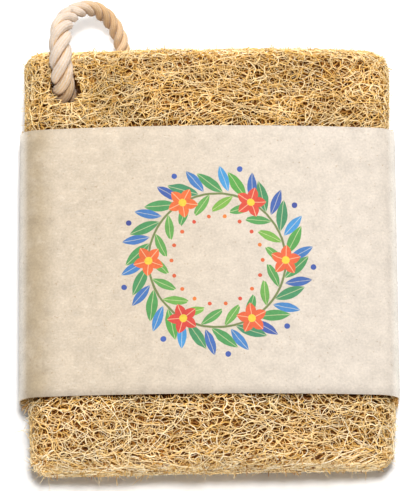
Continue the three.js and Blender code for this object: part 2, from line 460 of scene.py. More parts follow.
def chaikin(path: Array, rounds: int = 2) -> Array:
    """Round a path's corners, keeping its ends.

    Args:
        path: Rows of points.
        rounds: How often to cut the corners.

    Returns:
        The rounder path.
    """
    for _ in range(rounds):
        near = 0.75 * path[:-1] + 0.25 * path[1:]
        far = 0.25 * path[:-1] + 0.75 * path[1:]
        cut = np.stack([near, far], axis=1).reshape(-1, path.shape[1])
        path = np.concatenate([path[:1], cut, path[-1:]])
    return path


def run_along(path: Array) -> Array:
    """Distance gone along a path at each of its points."""
    return np.concatenate(([0.0], np.cumsum(np.linalg.norm(np.diff(path, axis=0), axis=1))))


def read_along(path: Array, wanted: Array) -> Array:
    """Points of a path at wanted distances along it."""
    gone = run_along(path)
    return np.stack([np.interp(wanted, gone, column) for column in path.T], axis=1)


def resample(path: Array, step: float) -> Array:
    """Space a path's points evenly.

    Args:
        path: Rows of points.
        step: Wanted distance between them.

    Returns:
        The path with its first and last points kept.
    """
    length = run_along(path)[-1]
    count = max(3, int(round(length / step)) + 1)
    return read_along(path, np.linspace(0, length, count))


@dataclass(frozen=True)
class NetLayer:
    """One layer of the fibre net: its depth, its meshes and its fibres."""

    seed: int
    depth: float
    spread: float
    mesh: tuple[float, float]
    radius: float
    step: float
    tint: tuple[float, float]
    stray: float = 0.47
    uneven: float = 0.35
    thickness: tuple[float, float] = (0.5, 1.9)
    weave_length: float = 5.0
    curl: float = 0.26
    curl_length: float = 3.1
    curl_seeds: tuple[int, int] = (200, 300)
    fibre_seed: int = 99
    stretch: tuple[float, float] = (1.1, 0.94)
    end_opening: tuple[float, float] = (7.0, 0.9)

    def paths(self, form: PadForm, zone: Zone) -> list[Array]:
        """Lay the net out flat.

        Args:
            form: The pad.
            zone: The stretch of it to cover.

        Returns:
            Fibres as rows of (round the section, along the outline), running through the net's knots.
        """
        rng = np.random.default_rng([self.seed, zone.number])
        merged = 1e-6
        low, high = form.span(zone)
        pitch = np.array(self.mesh) * self.stretch[0 if zone is Zone.LOW else 1]
        margin = 2 * pitch[1]
        shift = rng.uniform(0, form.round)
        columns = int(form.round / pitch[0]) + 3
        rows = int((high - low + 2 * margin) / pitch[1]) + 1
        grid = np.stack(np.meshgrid(np.arange(columns), np.arange(rows)), axis=-1).astype(float)
        grid[1::2, :, 0] += 0.5
        grid += rng.uniform(-self.stray, self.stray, grid.shape)
        flat = grid.reshape(-1, 2)
        triangles = np.array(delaunay_2d_cdt([Vector(p) for p in flat], [], [], 0, merged)[2])
        knots = flat[triangles].mean(axis=1) * pitch + np.array([shift, low - margin])
        if zone is not Zone.HIDDEN:
            knots[:, 1] = self._opened(knots[:, 1], form, zone)
        return join_knots(knots, neighbours(triangles))

    def _opened(self, s: Array, form: PadForm, zone: Zone) -> Array:
        """Draw the meshes out lengthways towards a cut end.

        Args:
            s: Distances along the outline.
            form: The pad.
            zone: The stretch of it that they are on.

        Returns:
            The distances in the drawn-out net.
        """
        from_end = s if zone is Zone.LOW else form.meridian - s
        fade, extra = self.end_opening
        drawn = from_end + extra * fade * (1 - np.exp(-np.maximum(from_end, 0) / fade))
        return drawn if zone is Zone.LOW else form.meridian - drawn

    def strands(self, form: PadForm, zone: Zone) -> list[Strand]:
        """Lay the net on the pad.

        Args:
            form: The pad.
            zone: The stretch of it to cover.

        Returns:
            The layer's fibres.
        """
        rng = np.random.default_rng([self.seed, self.fibre_seed, zone.number])
        low, high = form.span(zone)
        paths = [resample(chaikin(path), self.step) for path in self.paths(form, zone)]
        lengths = np.array([len(path) for path in paths])
        thick = self.radius * np.clip(rng.lognormal(0, self.uneven, len(paths)), *self.thickness)
        tint = rng.uniform(*self.tint, len(paths))
        flat = np.concatenate(paths)
        swing = [Ripple(self.seed + seed, self.curl_length).at(flat) for seed in self.curl_seeds]
        flat = flat + self.curl * np.stack(swing, axis=1)
        weave = Ripple(self.seed, self.weave_length).at(flat)
        depth = np.maximum(self.depth + self.spread * weave, np.repeat(thick, lengths))
        line, up = form.points(flat[:, 0], flat[:, 1], depth)
        inside = (flat[:, 1] > low) & (flat[:, 1] < high)
        made = []
        for start, length, radius, shade in zip(np.cumsum(lengths) - lengths, lengths, thick, tint):
            for run in runs_of(inside[start:start + length]):
                part = slice(start + run.start, start + run.stop)
                made.append(Strand(line[part], up[part], np.full(run.stop - run.start, radius), shade))
        return made


def neighbours(triangles: Array) -> list[list[int]]:
    """Find which triangles share a side.

    Args:
        triangles: Rows of three corners.

    Returns:
        For each triangle, the others that share a side with it.
    """
    beside: list[list[int]] = [[] for _ in triangles]
    seen: dict[tuple[int, int], int] = {}
    for index, corners in enumerate(triangles.tolist()):
        for start, end in zip(corners, corners[1:] + corners[:1]):
            side = (min(start, end), max(start, end))
            if side in seen:
                other = seen[side]
                beside[index].append(other)
                beside[other].append(index)
            else:
                seen[side] = index
    return beside


def join_knots(knots: Array, beside: list[list[int]]) -> list[Array]:
    """Join a net's knots into long fibres that run as straight as they can through each knot.

    Args:
        knots: Places of the knots.
        beside: For each knot, the knots next to it.

    Returns:
        The fibres, as rows of places.
    """
    onward: list[dict[int, int]] = []
    for index, others in enumerate(beside):
        headings = unit(knots[others] - knots[index]) if others else np.zeros((0, 2))
        facing = headings @ headings.T
        links: dict[int, int] = {}
        if len(others) > 1:
            first, second = np.unravel_index(np.argmin(facing), facing.shape)
            links = {others[first]: others[second], others[second]: others[first]}
        onward.append(links)
    used: set[tuple[int, int]] = set()
    fibres = []
    for start, others in enumerate(beside):
        for other in others:
            if (start, other) in used:
                continue
            chain = [start, other]
            used.update([(start, other), (other, start)])
            for _ in range(2):
                while chain[-2] in onward[chain[-1]]:
                    onto = onward[chain[-1]][chain[-2]]
                    if (chain[-1], onto) in used:
                        break
                    used.update([(chain[-1], onto), (onto, chain[-1])])
                    chain.append(onto)
                chain.reverse()
            fibres.append(knots[chain])
    return fibres


def runs_of(keep: Array, shortest: int = 3) -> list[slice]:
    """Find the unbroken runs in a row of flags.

    Args:
        keep: The flags.
        shortest: The least length of a run that counts.

    Returns:
        A slice for each run of set flags.
    """
    edges = np.flatnonzero(np.diff(np.concatenate(([0], keep.astype(int), [0]))))
    pairs = zip(edges[::2], edges[1::2])
    return [slice(start, end) for start, end in pairs if end - start >= shortest]


@dataclass(frozen=True)
class CordRoute:
    """The cord's route: a closed smooth curve through given points, in millimetres."""

    through: tuple[tuple[float, float, float], ...] = (
        (-46.4, 55.5, 15.6),
        (-46.8, 56.5, 20.6),
        (-47.0, 58.8, 24.4),
        (-47.3, 62.1, 27.1),
        (-47.5, 65.9, 28.6),
        (-47.6, 70.1, 28.7),
        (-47.4, 74.3, 27.5),
        (-46.5, 78.1, 25.1),
        (-44.1, 81.6, 22.2),
        (-40.5, 84.2, 19.1),
        (-37.0, 85.0, 16.0),
        (-34.0, 84.2, 13.0),
        (-31.5, 82.3, 10.4),
        (-29.7, 79.7, 8.1),
        (-28.2, 75.9, 6.2),
        (-28.0, 71.8, 4.7),
        (-29.4, 67.3, 3.6),
        (-32.4, 63.3, 3.3),
        (-37.4, 59.9, 4.2),
        (-42.0, 57.7, 6.9),
        (-44.9, 56.3, 10.8),
    )
    exit_index: int = 2
    joint: float = 0.5
    front_radius: float = 3.7
    back_radius: float = 2.6
    thickest: float = 0.11
    thick_run: tuple[float, float] = (0.25, 0.95)
    span_points: int = 60
    corner: tuple[float, float] = (-15.0, 40.0)
    hole: tuple[float, float] = (-45.3, 55.3)
    hole_radius: float = 3.9
    ragged: Ripple = Ripple(seed=61, wavelength=3.0)
    raggedness: float = 0.5

    def points(self, count: int) -> Array:
        """Points evenly spaced along the cord.

        Args:
            count: How many.

        Returns:
            Rows of points, from the joint in the hole all the way round to it again.
        """
        p = np.array(self.through)
        before, start, end, after = (np.roll(p, -shift, axis=0) for shift in (-1, 0, 1, 2))
        gap = [np.sqrt(np.linalg.norm(far - near, axis=1))[:, None]
               for near, far in ((before, start), (start, end), (end, after))]
        leave = (start - before) / gap[0] - (end - before) / (gap[0] + gap[1]) + (end - start) / gap[1]
        arrive = (end - start) / gap[1] - (after - start) / (gap[1] + gap[2]) + (after - end) / gap[2]
        leave, arrive = leave * gap[1], arrive * gap[1]
        t = np.linspace(0, 1, self.span_points, endpoint=False)[None, :, None]
        start, end, leave, arrive = (v[:, None] for v in (start, end, leave, arrive))
        bend = -3 * start + 3 * end - 2 * leave - arrive
        twist = 2 * start - 2 * end + leave + arrive
        curve = (start + leave * t + bend * t**2 + twist * t**3).reshape(-1, 3)
        curve = np.concatenate([curve, curve[:1]])
        length = run_along(curve)[-1] - self.joint
        return read_along(curve, np.linspace(0, length, count))

    def radius(self, share: Array) -> Array:
        """Radius of the cord at shares of its length: thick in front, slim behind."""
        near = 0.5 + 0.5 * np.cos(2 * math.pi * (share - self.thickest))
        return self.back_radius + (self.front_radius - self.back_radius) * smoothstep(near, *self.thick_run)

    def distance(self, points: Array) -> Array:
        """How far points lie outside the cord's surface.

        Args:
            points: Rows of points.

        Returns:
            Distances, less than zero inside the cord.
        """
        count = 160
        line = self.points(count)
        radius = self.radius(np.linspace(0, 1, count))
        away = np.full(len(points), np.inf)
        for middle, around in zip(line, radius):
            away = np.minimum(away, np.linalg.norm(points - middle, axis=1) - around)
        return away

    def blocks(self, points: Array, room: float, hole_floor: float) -> Array:
        """Flag points that are too near the cord or in the punched hole, which is ragged at its rim.

        Args:
            points: Rows of points.
            room: Distance to keep from the cord.
            hole_floor: Height that the hole reaches down to.

        Returns:
            One flag a row.
        """
        near = (points[:, 0] < self.corner[0]) & (points[:, 1] > self.corner[1])
        blocked = np.zeros(len(points), dtype=bool)
        blocked[near] = self.distance(points[near]) < room
        off = np.linalg.norm(points[:, :2] - np.array(self.hole), axis=1)
        rim = self.hole_radius + self.raggedness * self.ragged.at(points)
        return blocked | ((off < rim) & (points[:, 2] > hole_floor))


class Nodes:
    """A short way to lay out the nodes of one tree."""

    def __init__(self, tree: bpy.types.NodeTree) -> None:
        """Start on a tree.

        Args:
            tree: The tree that takes the nodes.
        """
        self.tree = tree

    def add(
        self, kind: str, inputs: dict[str | int, object] | None = None, **settings: object
    ) -> bpy.types.Node:
        """Add a node.

        Args:
            kind: The node's type.
            inputs: What each input holds: a value, or a socket to link.
            settings: Properties to set on it first.

        Returns:
            The node.
        """
        node = self.tree.nodes.new(kind)
        for name, value in settings.items():
            setattr(node, name, value)
        self.fill(node, inputs or {})
        return node

    def fill(self, node: bpy.types.Node, inputs: dict[str | int, object]) -> None:
        """Set or link a node's inputs.

        Args:
            node: The node.
            inputs: What each input holds: a value, or a socket to link.
        """
        for key, value in inputs.items():
            if isinstance(value, bpy.types.NodeSocket):
                self.tree.links.new(value, node.inputs[key])
            else:
                node.inputs[key].default_value = value

    def math(self, operation: str, *values: Sockets | float) -> Sockets:
        """Work out a number.

        Args:
            operation: The Math node's operation.
            values: Its inputs.

        Returns:
            The result.
        """
        return self.add("ShaderNodeMath", dict(enumerate(values)), operation=operation).outputs[0]

    def noise(
        self, where: Sockets, scale: Sockets | float, detail: float = 3.0, rough: float = 0.5
    ) -> Sockets:
        """A noise value.

        Args:
            where: Coordinates.
            scale: Bumps in a metre.
            detail: Octaves.
            rough: Strength of the finer octaves.

        Returns:
            The noise, mostly between 0.3 and 0.7.
        """
        inputs = {"Vector": where, "Scale": scale, "Detail": detail, "Roughness": rough}
        return self.add("ShaderNodeTexNoise", inputs).outputs["Fac"]

    def fade(
        self, value: Sockets, low: float, high: float, to_low: float = 0.0, to_high: float = 1.0
    ) -> Sockets:
        """Map a value smoothly from one range to another.

        Args:
            value: The value.
            low: Start of its range.
            high: End of its range.
            to_low: What low becomes.
            to_high: What high becomes.

        Returns:
            The mapped value, held in the new range.
        """
        inputs = {"Value": value, "From Min": low, "From Max": high, "To Min": to_low, "To Max": to_high}
        return self.add("ShaderNodeMapRange", inputs, interpolation_type="SMOOTHSTEP").outputs["Result"]

    def blend(self, share: Sockets | float, first: object, second: object) -> Sockets:
        """Mix two colours.

        Args:
            share: How much of the second.
            first: The first colour.
            second: The second colour.

        Returns:
            The mixed colour.
        """
        # A Mix node's colour sockets share their names with others, so they go by number.
        inputs = {0: share, 6: first, 7: second}
        return self.add("ShaderNodeMix", inputs, data_type="RGBA").outputs[2]

    def place(self) -> Sockets:
        """Coordinates fixed to the piece, in metres."""
        return self.add("ShaderNodeTexCoord").outputs["Object"]

    def ramp(self, value: Sockets, stops: list[tuple[float, tuple[float, ...]]]) -> Sockets:
        """Colour a value by stops.

        Args:
            value: The value.
            stops: Places and colours, in order.

        Returns:
            The colour.
        """
        node = self.add("ShaderNodeValToRGB", {0: value})
        elements = node.color_ramp.elements
        while len(elements) < len(stops):
            elements.new(0.5)
        for element, (at, colour) in zip(elements, stops):
            element.position = at
            element.color = colour
        return node.outputs["Color"]


def new_material(name: str) -> tuple[bpy.types.Material, Nodes, bpy.types.Node]:
    """Start a material.

    Args:
        name: Its name.

    Returns:
        The material, its nodes and its Principled shader.
    """
    material = bpy.data.materials.new(name)
    material.use_nodes = True
    nodes = Nodes(material.node_tree)
    return material, nodes, material.node_tree.nodes["Principled BSDF"]


def mottle_group() -> bpy.types.NodeTree:
    """Group that varies a colour in soft patches and fine grain, for plant fibre, cotton and paper.

    Returns:
        The group, which gives the varied colour and the grain.
    """
    patch_detail, grain_detail = 3.0, 2.0
    tree = bpy.data.node_groups.new("natural mottle", "ShaderNodeTree")
    face = tree.interface
    face.new_socket("Color", in_out="INPUT", socket_type="NodeSocketColor")
    for name in ("Patch Scale", "Grain Scale", "Strength"):
        face.new_socket(name, in_out="INPUT", socket_type="NodeSocketFloat")
    face.new_socket("Color", in_out="OUTPUT", socket_type="NodeSocketColor")
    face.new_socket("Grain", in_out="OUTPUT", socket_type="NodeSocketFloat")
    nodes = Nodes(tree)
    given = nodes.add("NodeGroupInput").outputs
    where = nodes.place()
    patch = nodes.noise(where, given["Patch Scale"], patch_detail)
    grain = nodes.noise(where, given["Grain Scale"], grain_detail)
    both = nodes.math("ADD", patch, grain)
    swing = nodes.math("MULTIPLY", nodes.math("SUBTRACT", both, 1.0), given["Strength"])
    bright = nodes.math("ADD", swing, 1.0)
    shade = nodes.add("ShaderNodeHueSaturation", {"Color": given["Color"], "Value": bright})
    nodes.add("NodeGroupOutput", {"Color": shade.outputs["Color"], "Grain": grain})
    return tree


@dataclass(frozen=True)
class Surface:
    """How a natural surface varies: its patches and grain in a metre, its bumps and its roughness."""

    patches: float
    grains: float
    strength: float
    bump: float
    bump_depth: float
    roughness: float

    def dress(
        self, nodes: Nodes, shader: bpy.types.Node, mottle: bpy.types.NodeTree, colour: Sockets,
        height: Sockets | None = None,
    ) -> None:
        """Give a shader a varied colour, bumps and a roughness.

        Args:
            nodes: Nodes of its material.
            shader: The shader.
            mottle: The shared colour variation.
            colour: The colour to vary.
            height: What the bumps follow, if not the grain.
        """
        given = {"Color": colour, "Patch Scale": self.patches, "Grain Scale": self.grains,
                 "Strength": self.strength}
        varied = nodes.add("ShaderNodeGroup", given, node_tree=mottle).outputs
        follows = varied["Grain"] if height is None else height
        given = {"Height": follows, "Strength": self.bump, "Distance": self.bump_depth}
        bump = nodes.add("ShaderNodeBump", given)
        nodes.fill(shader, {"Base Color": varied["Color"], "Normal": bump.outputs["Normal"],
                            "Roughness": self.roughness})


@dataclass(frozen=True)
class Speckle:
    """A mask cut out of noise: how fine it is, and which part of the noise shows how strongly."""

    scale: float
    detail: float
    rough: float
    shown: tuple[float, float]
    strength: tuple[float, float]

    def mask(self, nodes: Nodes, where: Sockets) -> Sockets:
        """The mask's value at the coordinates."""
        noise = nodes.noise(where, self.scale, self.detail, self.rough)
        return nodes.fade(noise, *self.shown, *self.strength)


@dataclass(frozen=True)
class FibreFinish:
    """Dry loofah fibre: straw to golden brown, each fibre with its own tint, slightly glossy; the darker
    tints that the deeper net layers take are painted shade.
    """

    dark: tuple[float, ...] = srgb(168, 102, 26)
    middle: tuple[float, ...] = srgb(230, 184, 97)
    pale: tuple[float, ...] = srgb(252, 228, 179)
    bleached: tuple[float, ...] = srgb(254, 239, 208)
    stops: tuple[float, ...] = (0.0, 0.45, 0.85, 1.0)
    surface: Surface = Surface(
        patches=65.0, grains=900.0, strength=0.6, bump=0.25, bump_depth=0.0001, roughness=0.5
    )
    shine: float = 0.25

    def material(self, mottle: bpy.types.NodeTree) -> bpy.types.Material:
        """Make the material.

        Args:
            mottle: The shared colour variation.

        Returns:
            The material.
        """
        material, nodes, shader = new_material("loofah fibre")
        tint = nodes.add("ShaderNodeAttribute", attribute_name="tint").outputs["Fac"]
        tones = (self.dark, self.middle, self.pale, self.bleached)
        colour = nodes.ramp(tint, list(zip(self.stops, tones)))
        self.surface.dress(nodes, shader, mottle, colour)
        shader.inputs["Specular IOR Level"].default_value = self.shine
        return material


@dataclass(frozen=True)
class PaintedShadeFinish:
    """Painted shade: dark brown on the closed inside, standing for the shade deep between the fibres."""

    deep: tuple[float, ...] = srgb(92, 50, 8)
    light: tuple[float, ...] = srgb(150, 94, 28)
    stops: tuple[float, float] = (0.35, 0.65)
    cells: tuple[float, float, float] = (380.0, 4.0, 0.6)
    surface: Surface = Surface(
        patches=60.0, grains=1100.0, strength=0.6, bump=0.8, bump_depth=0.001, roughness=0.9
    )

    def material(self, mottle: bpy.types.NodeTree) -> bpy.types.Material:
        """Make the material.

        Args:
            mottle: The shared colour variation.

        Returns:
            The material.
        """
        material, nodes, shader = new_material("loofah inside painted shade")
        cells = nodes.noise(nodes.place(), *self.cells)
        # Painted shade: the deep and light browns stand for the shade inside the net.
        colour = nodes.ramp(cells, list(zip(self.stops, (self.deep, self.light))))
        self.surface.dress(nodes, shader, mottle, colour, height=cells)
        return material


@dataclass(frozen=True)
class LongFibres:
    """Long fibres that wander across the net and weave in and out of it."""

    seed: int = 71
    count: int = 680
    points: tuple[int, int] = (8, 26)
    step: float = 1.4
    turns: tuple[float, ...] = (0.15, 0.25, 0.4)
    heading: float = 0.75
    depth: tuple[float, float] = (-0.2, 1.1)
    least_depth: float = 0.05
    weave: tuple[float, float] = (0.3, 0.7)
    weave_length: tuple[float, float] = (9.0, 22.0)
    weave_phase: float = 6.0
    radius: tuple[float, float] = (0.09, 0.19)
    taper: int = 3
    tip: float = 0.4
    tint: tuple[float, float] = (0.5, 1.0)

    def strands(self, form: PadForm, zone: Zone, share: float) -> list[Strand]:
        """Lay the fibres on the pad.

        Args:
            form: The pad.
            zone: The stretch of it to cover.
            share: How much of their number to lay.

        Returns:
            The fibres.
        """
        rng = np.random.default_rng([self.seed, zone.number])
        low, high = form.span(zone)
        made = []
        for _ in range(int(self.count * share)):
            count = int(rng.uniform(*self.points))
            number = np.arange(count)
            turn = rng.normal(0, rng.choice(self.turns), count).cumsum()
            heading = rng.normal(0, self.heading) + turn - turn.mean()
            steps = self.step * np.stack([np.cos(heading), np.sin(heading)], axis=1)
            path = steps.cumsum(axis=0) + np.array([rng.uniform(0, form.round), rng.uniform(low, high)])
            middle = rng.uniform(*self.depth)
            swing = rng.uniform(*self.weave)
            waves = number * self.step * 2 * math.pi / rng.uniform(*self.weave_length)
            weave = middle + swing * np.sin(waves + rng.uniform(0, self.weave_phase))
            depth = np.maximum(weave, self.least_depth)
            taper = np.minimum(1, np.minimum(number + 1, count - number) / self.taper)
            radius = rng.uniform(*self.radius) * (self.tip + (1 - self.tip) * taper)
            tint = rng.uniform(*self.tint)
            for run in runs_of((path[:, 1] > low) & (path[:, 1] < high)):
                line, up = form.points(path[run, 0], path[run, 1], depth[run])
                made.append(Strand(line, up, radius[run], tint))
        return made


@dataclass(frozen=True)
class Curls:
    """Short bowed fibres that stand out of the net and dive back into it."""

    seed: int = 77
    count: int = 1700
    points: int = 8
    step: float = 0.85
    bow: float = 0.28
    jog: float = 0.2
    heading: float = 0.95
    top: tuple[float, float] = (-0.15, 0.5)
    dive: float = 0.9
    overrun: float = 0.5
    radius: tuple[float, float] = (0.09, 0.17)
    thinner: float = 0.4
    tint: tuple[float, float] = (0.55, 1.0)

    def strands(self, form: PadForm, zone: Zone, share: float) -> list[Strand]:
        """Lay the fibres on the pad.

        Args:
            form: The pad.
            zone: The stretch of it to cover.
            share: How much of their number to lay.

        Returns:
            The fibres.
        """
        rng = np.random.default_rng([self.seed, zone.number])
        low, high = form.bare(zone)
        count = int(self.count * share)
        bow = rng.normal(0, self.bow, (count, 1))
        jog = rng.normal(0, self.jog, (count, self.points))
        heading = rng.normal(0, self.heading, (count, 1)) + np.cumsum(bow * self.step + jog, axis=1)
        steps = self.step * np.stack([np.cos(heading), np.sin(heading)], axis=-1)
        middle = np.stack([rng.uniform(0, form.round, count), rng.uniform(low, high, count)], axis=-1)
        flat = np.cumsum(steps, axis=1)
        flat += (middle - flat.mean(axis=1))[:, None]
        flat[..., 1] = np.clip(flat[..., 1], low - self.overrun, high + self.overrun)
        across = np.linspace(-1, 1, self.points)
        depth = rng.uniform(*self.top, (count, 1)) + self.dive * across**2
        line, up = form.points(flat[..., 0].ravel(), flat[..., 1].ravel(), depth.ravel())
        line, up = (rows.reshape(count, self.points, 3) for rows in (line, up))
        radius = rng.uniform(*self.radius, (count, 1)) * (1 - self.thinner * across**2)
        tint = rng.uniform(*self.tint, count)
        return [Strand(*fibre) for fibre in zip(line, up, radius, tint)]


@dataclass(frozen=True)
class Hairs:
    """Short hairs: tufts on the cut end, loose ends on the skin and fibres that fill the sleeve's mouth."""

    seed: int = 83
    cut: int = 1400
    loose: int = 1500
    mouth: int = 300
    tuft: int = 4
    points: int = 4
    cut_start: float = -0.5
    mouth_run: tuple[float, float] = (-0.8, 3.4)
    mouth_half: float = 5.0
    scatter: float = 0.3
    root_depth: float = 0.5
    cut_lean: tuple[float, float, float, float] = (0.3, 0.7, 0.7, 0.4)
    loose_lean: tuple[float, float] = (0.5, 0.9)
    mouth_lean: float = 0.5
    cut_length: tuple[float, float, float] = (2.0, 0.26, 0.35)
    loose_length: tuple[float, float, float] = (2.2, 0.42, 0.6)
    mouth_length: tuple[float, float] = (1.4, 3.4)
    curl: float = 0.9
    thick: tuple[float, float] = (0.11, 0.22)
    thin: tuple[float, float] = (0.07, 0.13)
    tip: float = 0.5
    low_tint: tuple[float, float] = (0.0, 1.0)
    high_tint: tuple[float, float] = (0.3, 1.0)
    loose_tint: tuple[float, float] = (0.65, 1.0)

    def strands(self, form: PadForm, zone: Zone) -> list[Strand]:
        """Set the hairs on the pad.

        Args:
            form: The pad.
            zone: The stretch of it to cover.

        Returns:
            The hairs.
        """
        rng = np.random.default_rng([self.seed, zone.number])
        at_low_end = zone is Zone.LOW
        count = self.cut + self.loose + self.mouth
        number = np.arange(count)
        cut = number < self.cut
        mouth = number >= self.cut + self.loose
        of_tuft = np.where(cut, number - number % self.tuft, number)
        root, out = self._roots(rng, form, zone, cut, mouth, of_tuft)
        outward = np.array([0.0, -1.0 if at_low_end else 1.0, 0.0])
        lean = unit(rng.normal(size=(count, 3)))
        to_end, to_skin, with_tuft, alone = self.cut_lean
        stubs = to_end * outward + to_skin * out + with_tuft * lean[of_tuft] + alone * lean
        loose = self.loose_lean[0] * out + self.loose_lean[1] * lean
        filling = out + self.mouth_lean * lean
        heading = unit(np.where(cut[:, None], stubs, np.where(mouth[:, None], filling, loose)))
        stub, end = (
            rng.gamma(shape, scale, count) + least
            for shape, scale, least in (self.cut_length, self.loose_length)
        )
        length = np.where(mouth, rng.uniform(*self.mouth_length, count), np.where(cut, stub, end))
        share = np.linspace(0, 1, self.points)
        curl = self.curl * unit(rng.normal(size=(count, 3)))
        reach = heading[:, None] * share[None, :, None] + curl[:, None] * share[None, :, None] ** 2
        lines = root[:, None] + length[:, None, None] * reach
        lines[..., 2] = np.maximum(lines[..., 2], form.floor)
        lines[mouth, :, 0] = np.clip(lines[mouth, :, 0], -form.in_sleeve, form.in_sleeve)
        lines[mouth, :, 2] = np.minimum(lines[mouth, :, 2], form.under_fold)
        stout = cut | mouth
        thick = np.where(stout, rng.uniform(*self.thick, count), rng.uniform(*self.thin, count))
        end_tint = rng.uniform(*(self.low_tint if at_low_end else self.high_tint), count)
        tint = np.where(stout, end_tint, rng.uniform(*self.loose_tint, count))[of_tuft]
        up = np.repeat(unit(rng.normal(size=(count, 3)))[:, None], self.points, axis=1)
        radius = thick[:, None] * (1 - self.tip * share)
        return [Strand(*hair) for hair in zip(lines, up, radius, tint)]

    def _roots(
        self, rng: np.random.Generator, form: PadForm, zone: Zone, cut: Array, mouth: Array, of_tuft: Array
    ) -> tuple[Array, Array]:
        """Choose where the hairs stand.

        Args:
            rng: Source of chance.
            form: The pad.
            zone: The stretch of it to cover.
            cut: Which hairs are on the cut end.
            mouth: Which hairs are in the sleeve's mouth.
            of_tuft: For each hair, the first hair of its tuft.

        Returns:
            The roots and the outward directions there.
        """
        count = len(cut)
        low, high = form.bare(zone)
        on_end = rng.uniform(self.cut_start, form.end_run, count)
        on_skin = rng.uniform(form.end_face, high - low, count)
        in_mouth = high - low + rng.uniform(*self.mouth_run, count)
        from_end = np.where(mouth, in_mouth, np.where(cut, on_end, on_skin))[of_tuft]
        from_end = from_end + self.scatter * rng.normal(size=count) * cut
        s = from_end if zone is Zone.LOW else form.meridian - from_end
        either_side = form.round / 2 * rng.integers(0, 2, count)
        side = either_side + rng.uniform(-self.mouth_half, self.mouth_half, count)
        a = np.where(mouth, side, rng.uniform(0, form.round, count))[of_tuft]
        return form.points(a + self.scatter * rng.normal(size=count), s, self.root_depth)


@dataclass(frozen=True)
class ShadeCore:
    """The closed inside that the net stands out of, hollowed where the cord goes; its dark brown is painted
    shade for the depths between the fibres.
    """

    depth: float = 3.4
    lumps: Ripple = Ripple(seed=29, wavelength=5.0)
    lump_height: float = 0.5
    end_depth: float = 2.0
    end_slope: float = 0.25
    past_end: float = 0.6
    columns: int = 180
    rows: int = 84
    cord_room: float = 0.85
    hole_floor: float = 14.0
    push: float = 0.4
    pushes: int = 24

    def build(self, form: PadForm, route: CordRoute) -> MeshBuild:
        """Make the inside's mesh.

        Args:
            form: The pad.
            route: The cord's route.

        Returns:
            The mesh.
        """
        a = np.linspace(0, form.round, self.columns, endpoint=False)
        s = np.linspace(-self.past_end, form.meridian + self.past_end, self.rows)
        grid_s, grid_a = np.meshgrid(s, a, indexing="ij")
        flat = np.stack([grid_a.ravel(), grid_s.ravel()], axis=1)
        from_end = form.meridian / 2 - np.abs(flat[:, 1] - form.meridian / 2)
        near_end = self.end_depth + self.end_slope * np.maximum(from_end, 0)
        depth = np.minimum(self.depth + self.lump_height * self.lumps.at(flat), near_end)
        points, out = form.points(flat[:, 0], flat[:, 1], depth)
        for _ in range(self.pushes):
            tight = route.blocks(points, self.cord_room, self.hole_floor)
            if not tight.any():
                break
            points[tight] -= self.push * out[tight]
        index = np.arange(len(points)).reshape(self.rows, self.columns)
        turned = np.roll(index, -1, axis=1)
        walls = np.stack([index[:-1], index[1:], turned[1:], turned[:-1]], axis=-1).reshape(-1, 4)
        low_end = self._across(index[0])
        high_end = [block[:, ::-1] for block in self._across(index[-1])]
        build = MeshBuild()
        build.add(points, [walls, *low_end, *high_end])
        return build

    def _across(self, ring: Array) -> list[Array]:
        """Close a ring of points from one long side to the other.

        Args:
            ring: Numbers of the points.

        Returns:
            Blocks of faces.
        """
        half = len(ring) // 2
        left, right = np.arange(half), len(ring) - np.arange(half)
        quads = np.stack([ring[left[1:-1]], ring[left[2:]], ring[right[2:]], ring[right[1:-1]]], axis=1)
        first = np.array([[ring[0], ring[1], ring[-1]]])
        last = np.array([[ring[half - 1], ring[half], ring[half + 1]]])
        return [quads, first, last]


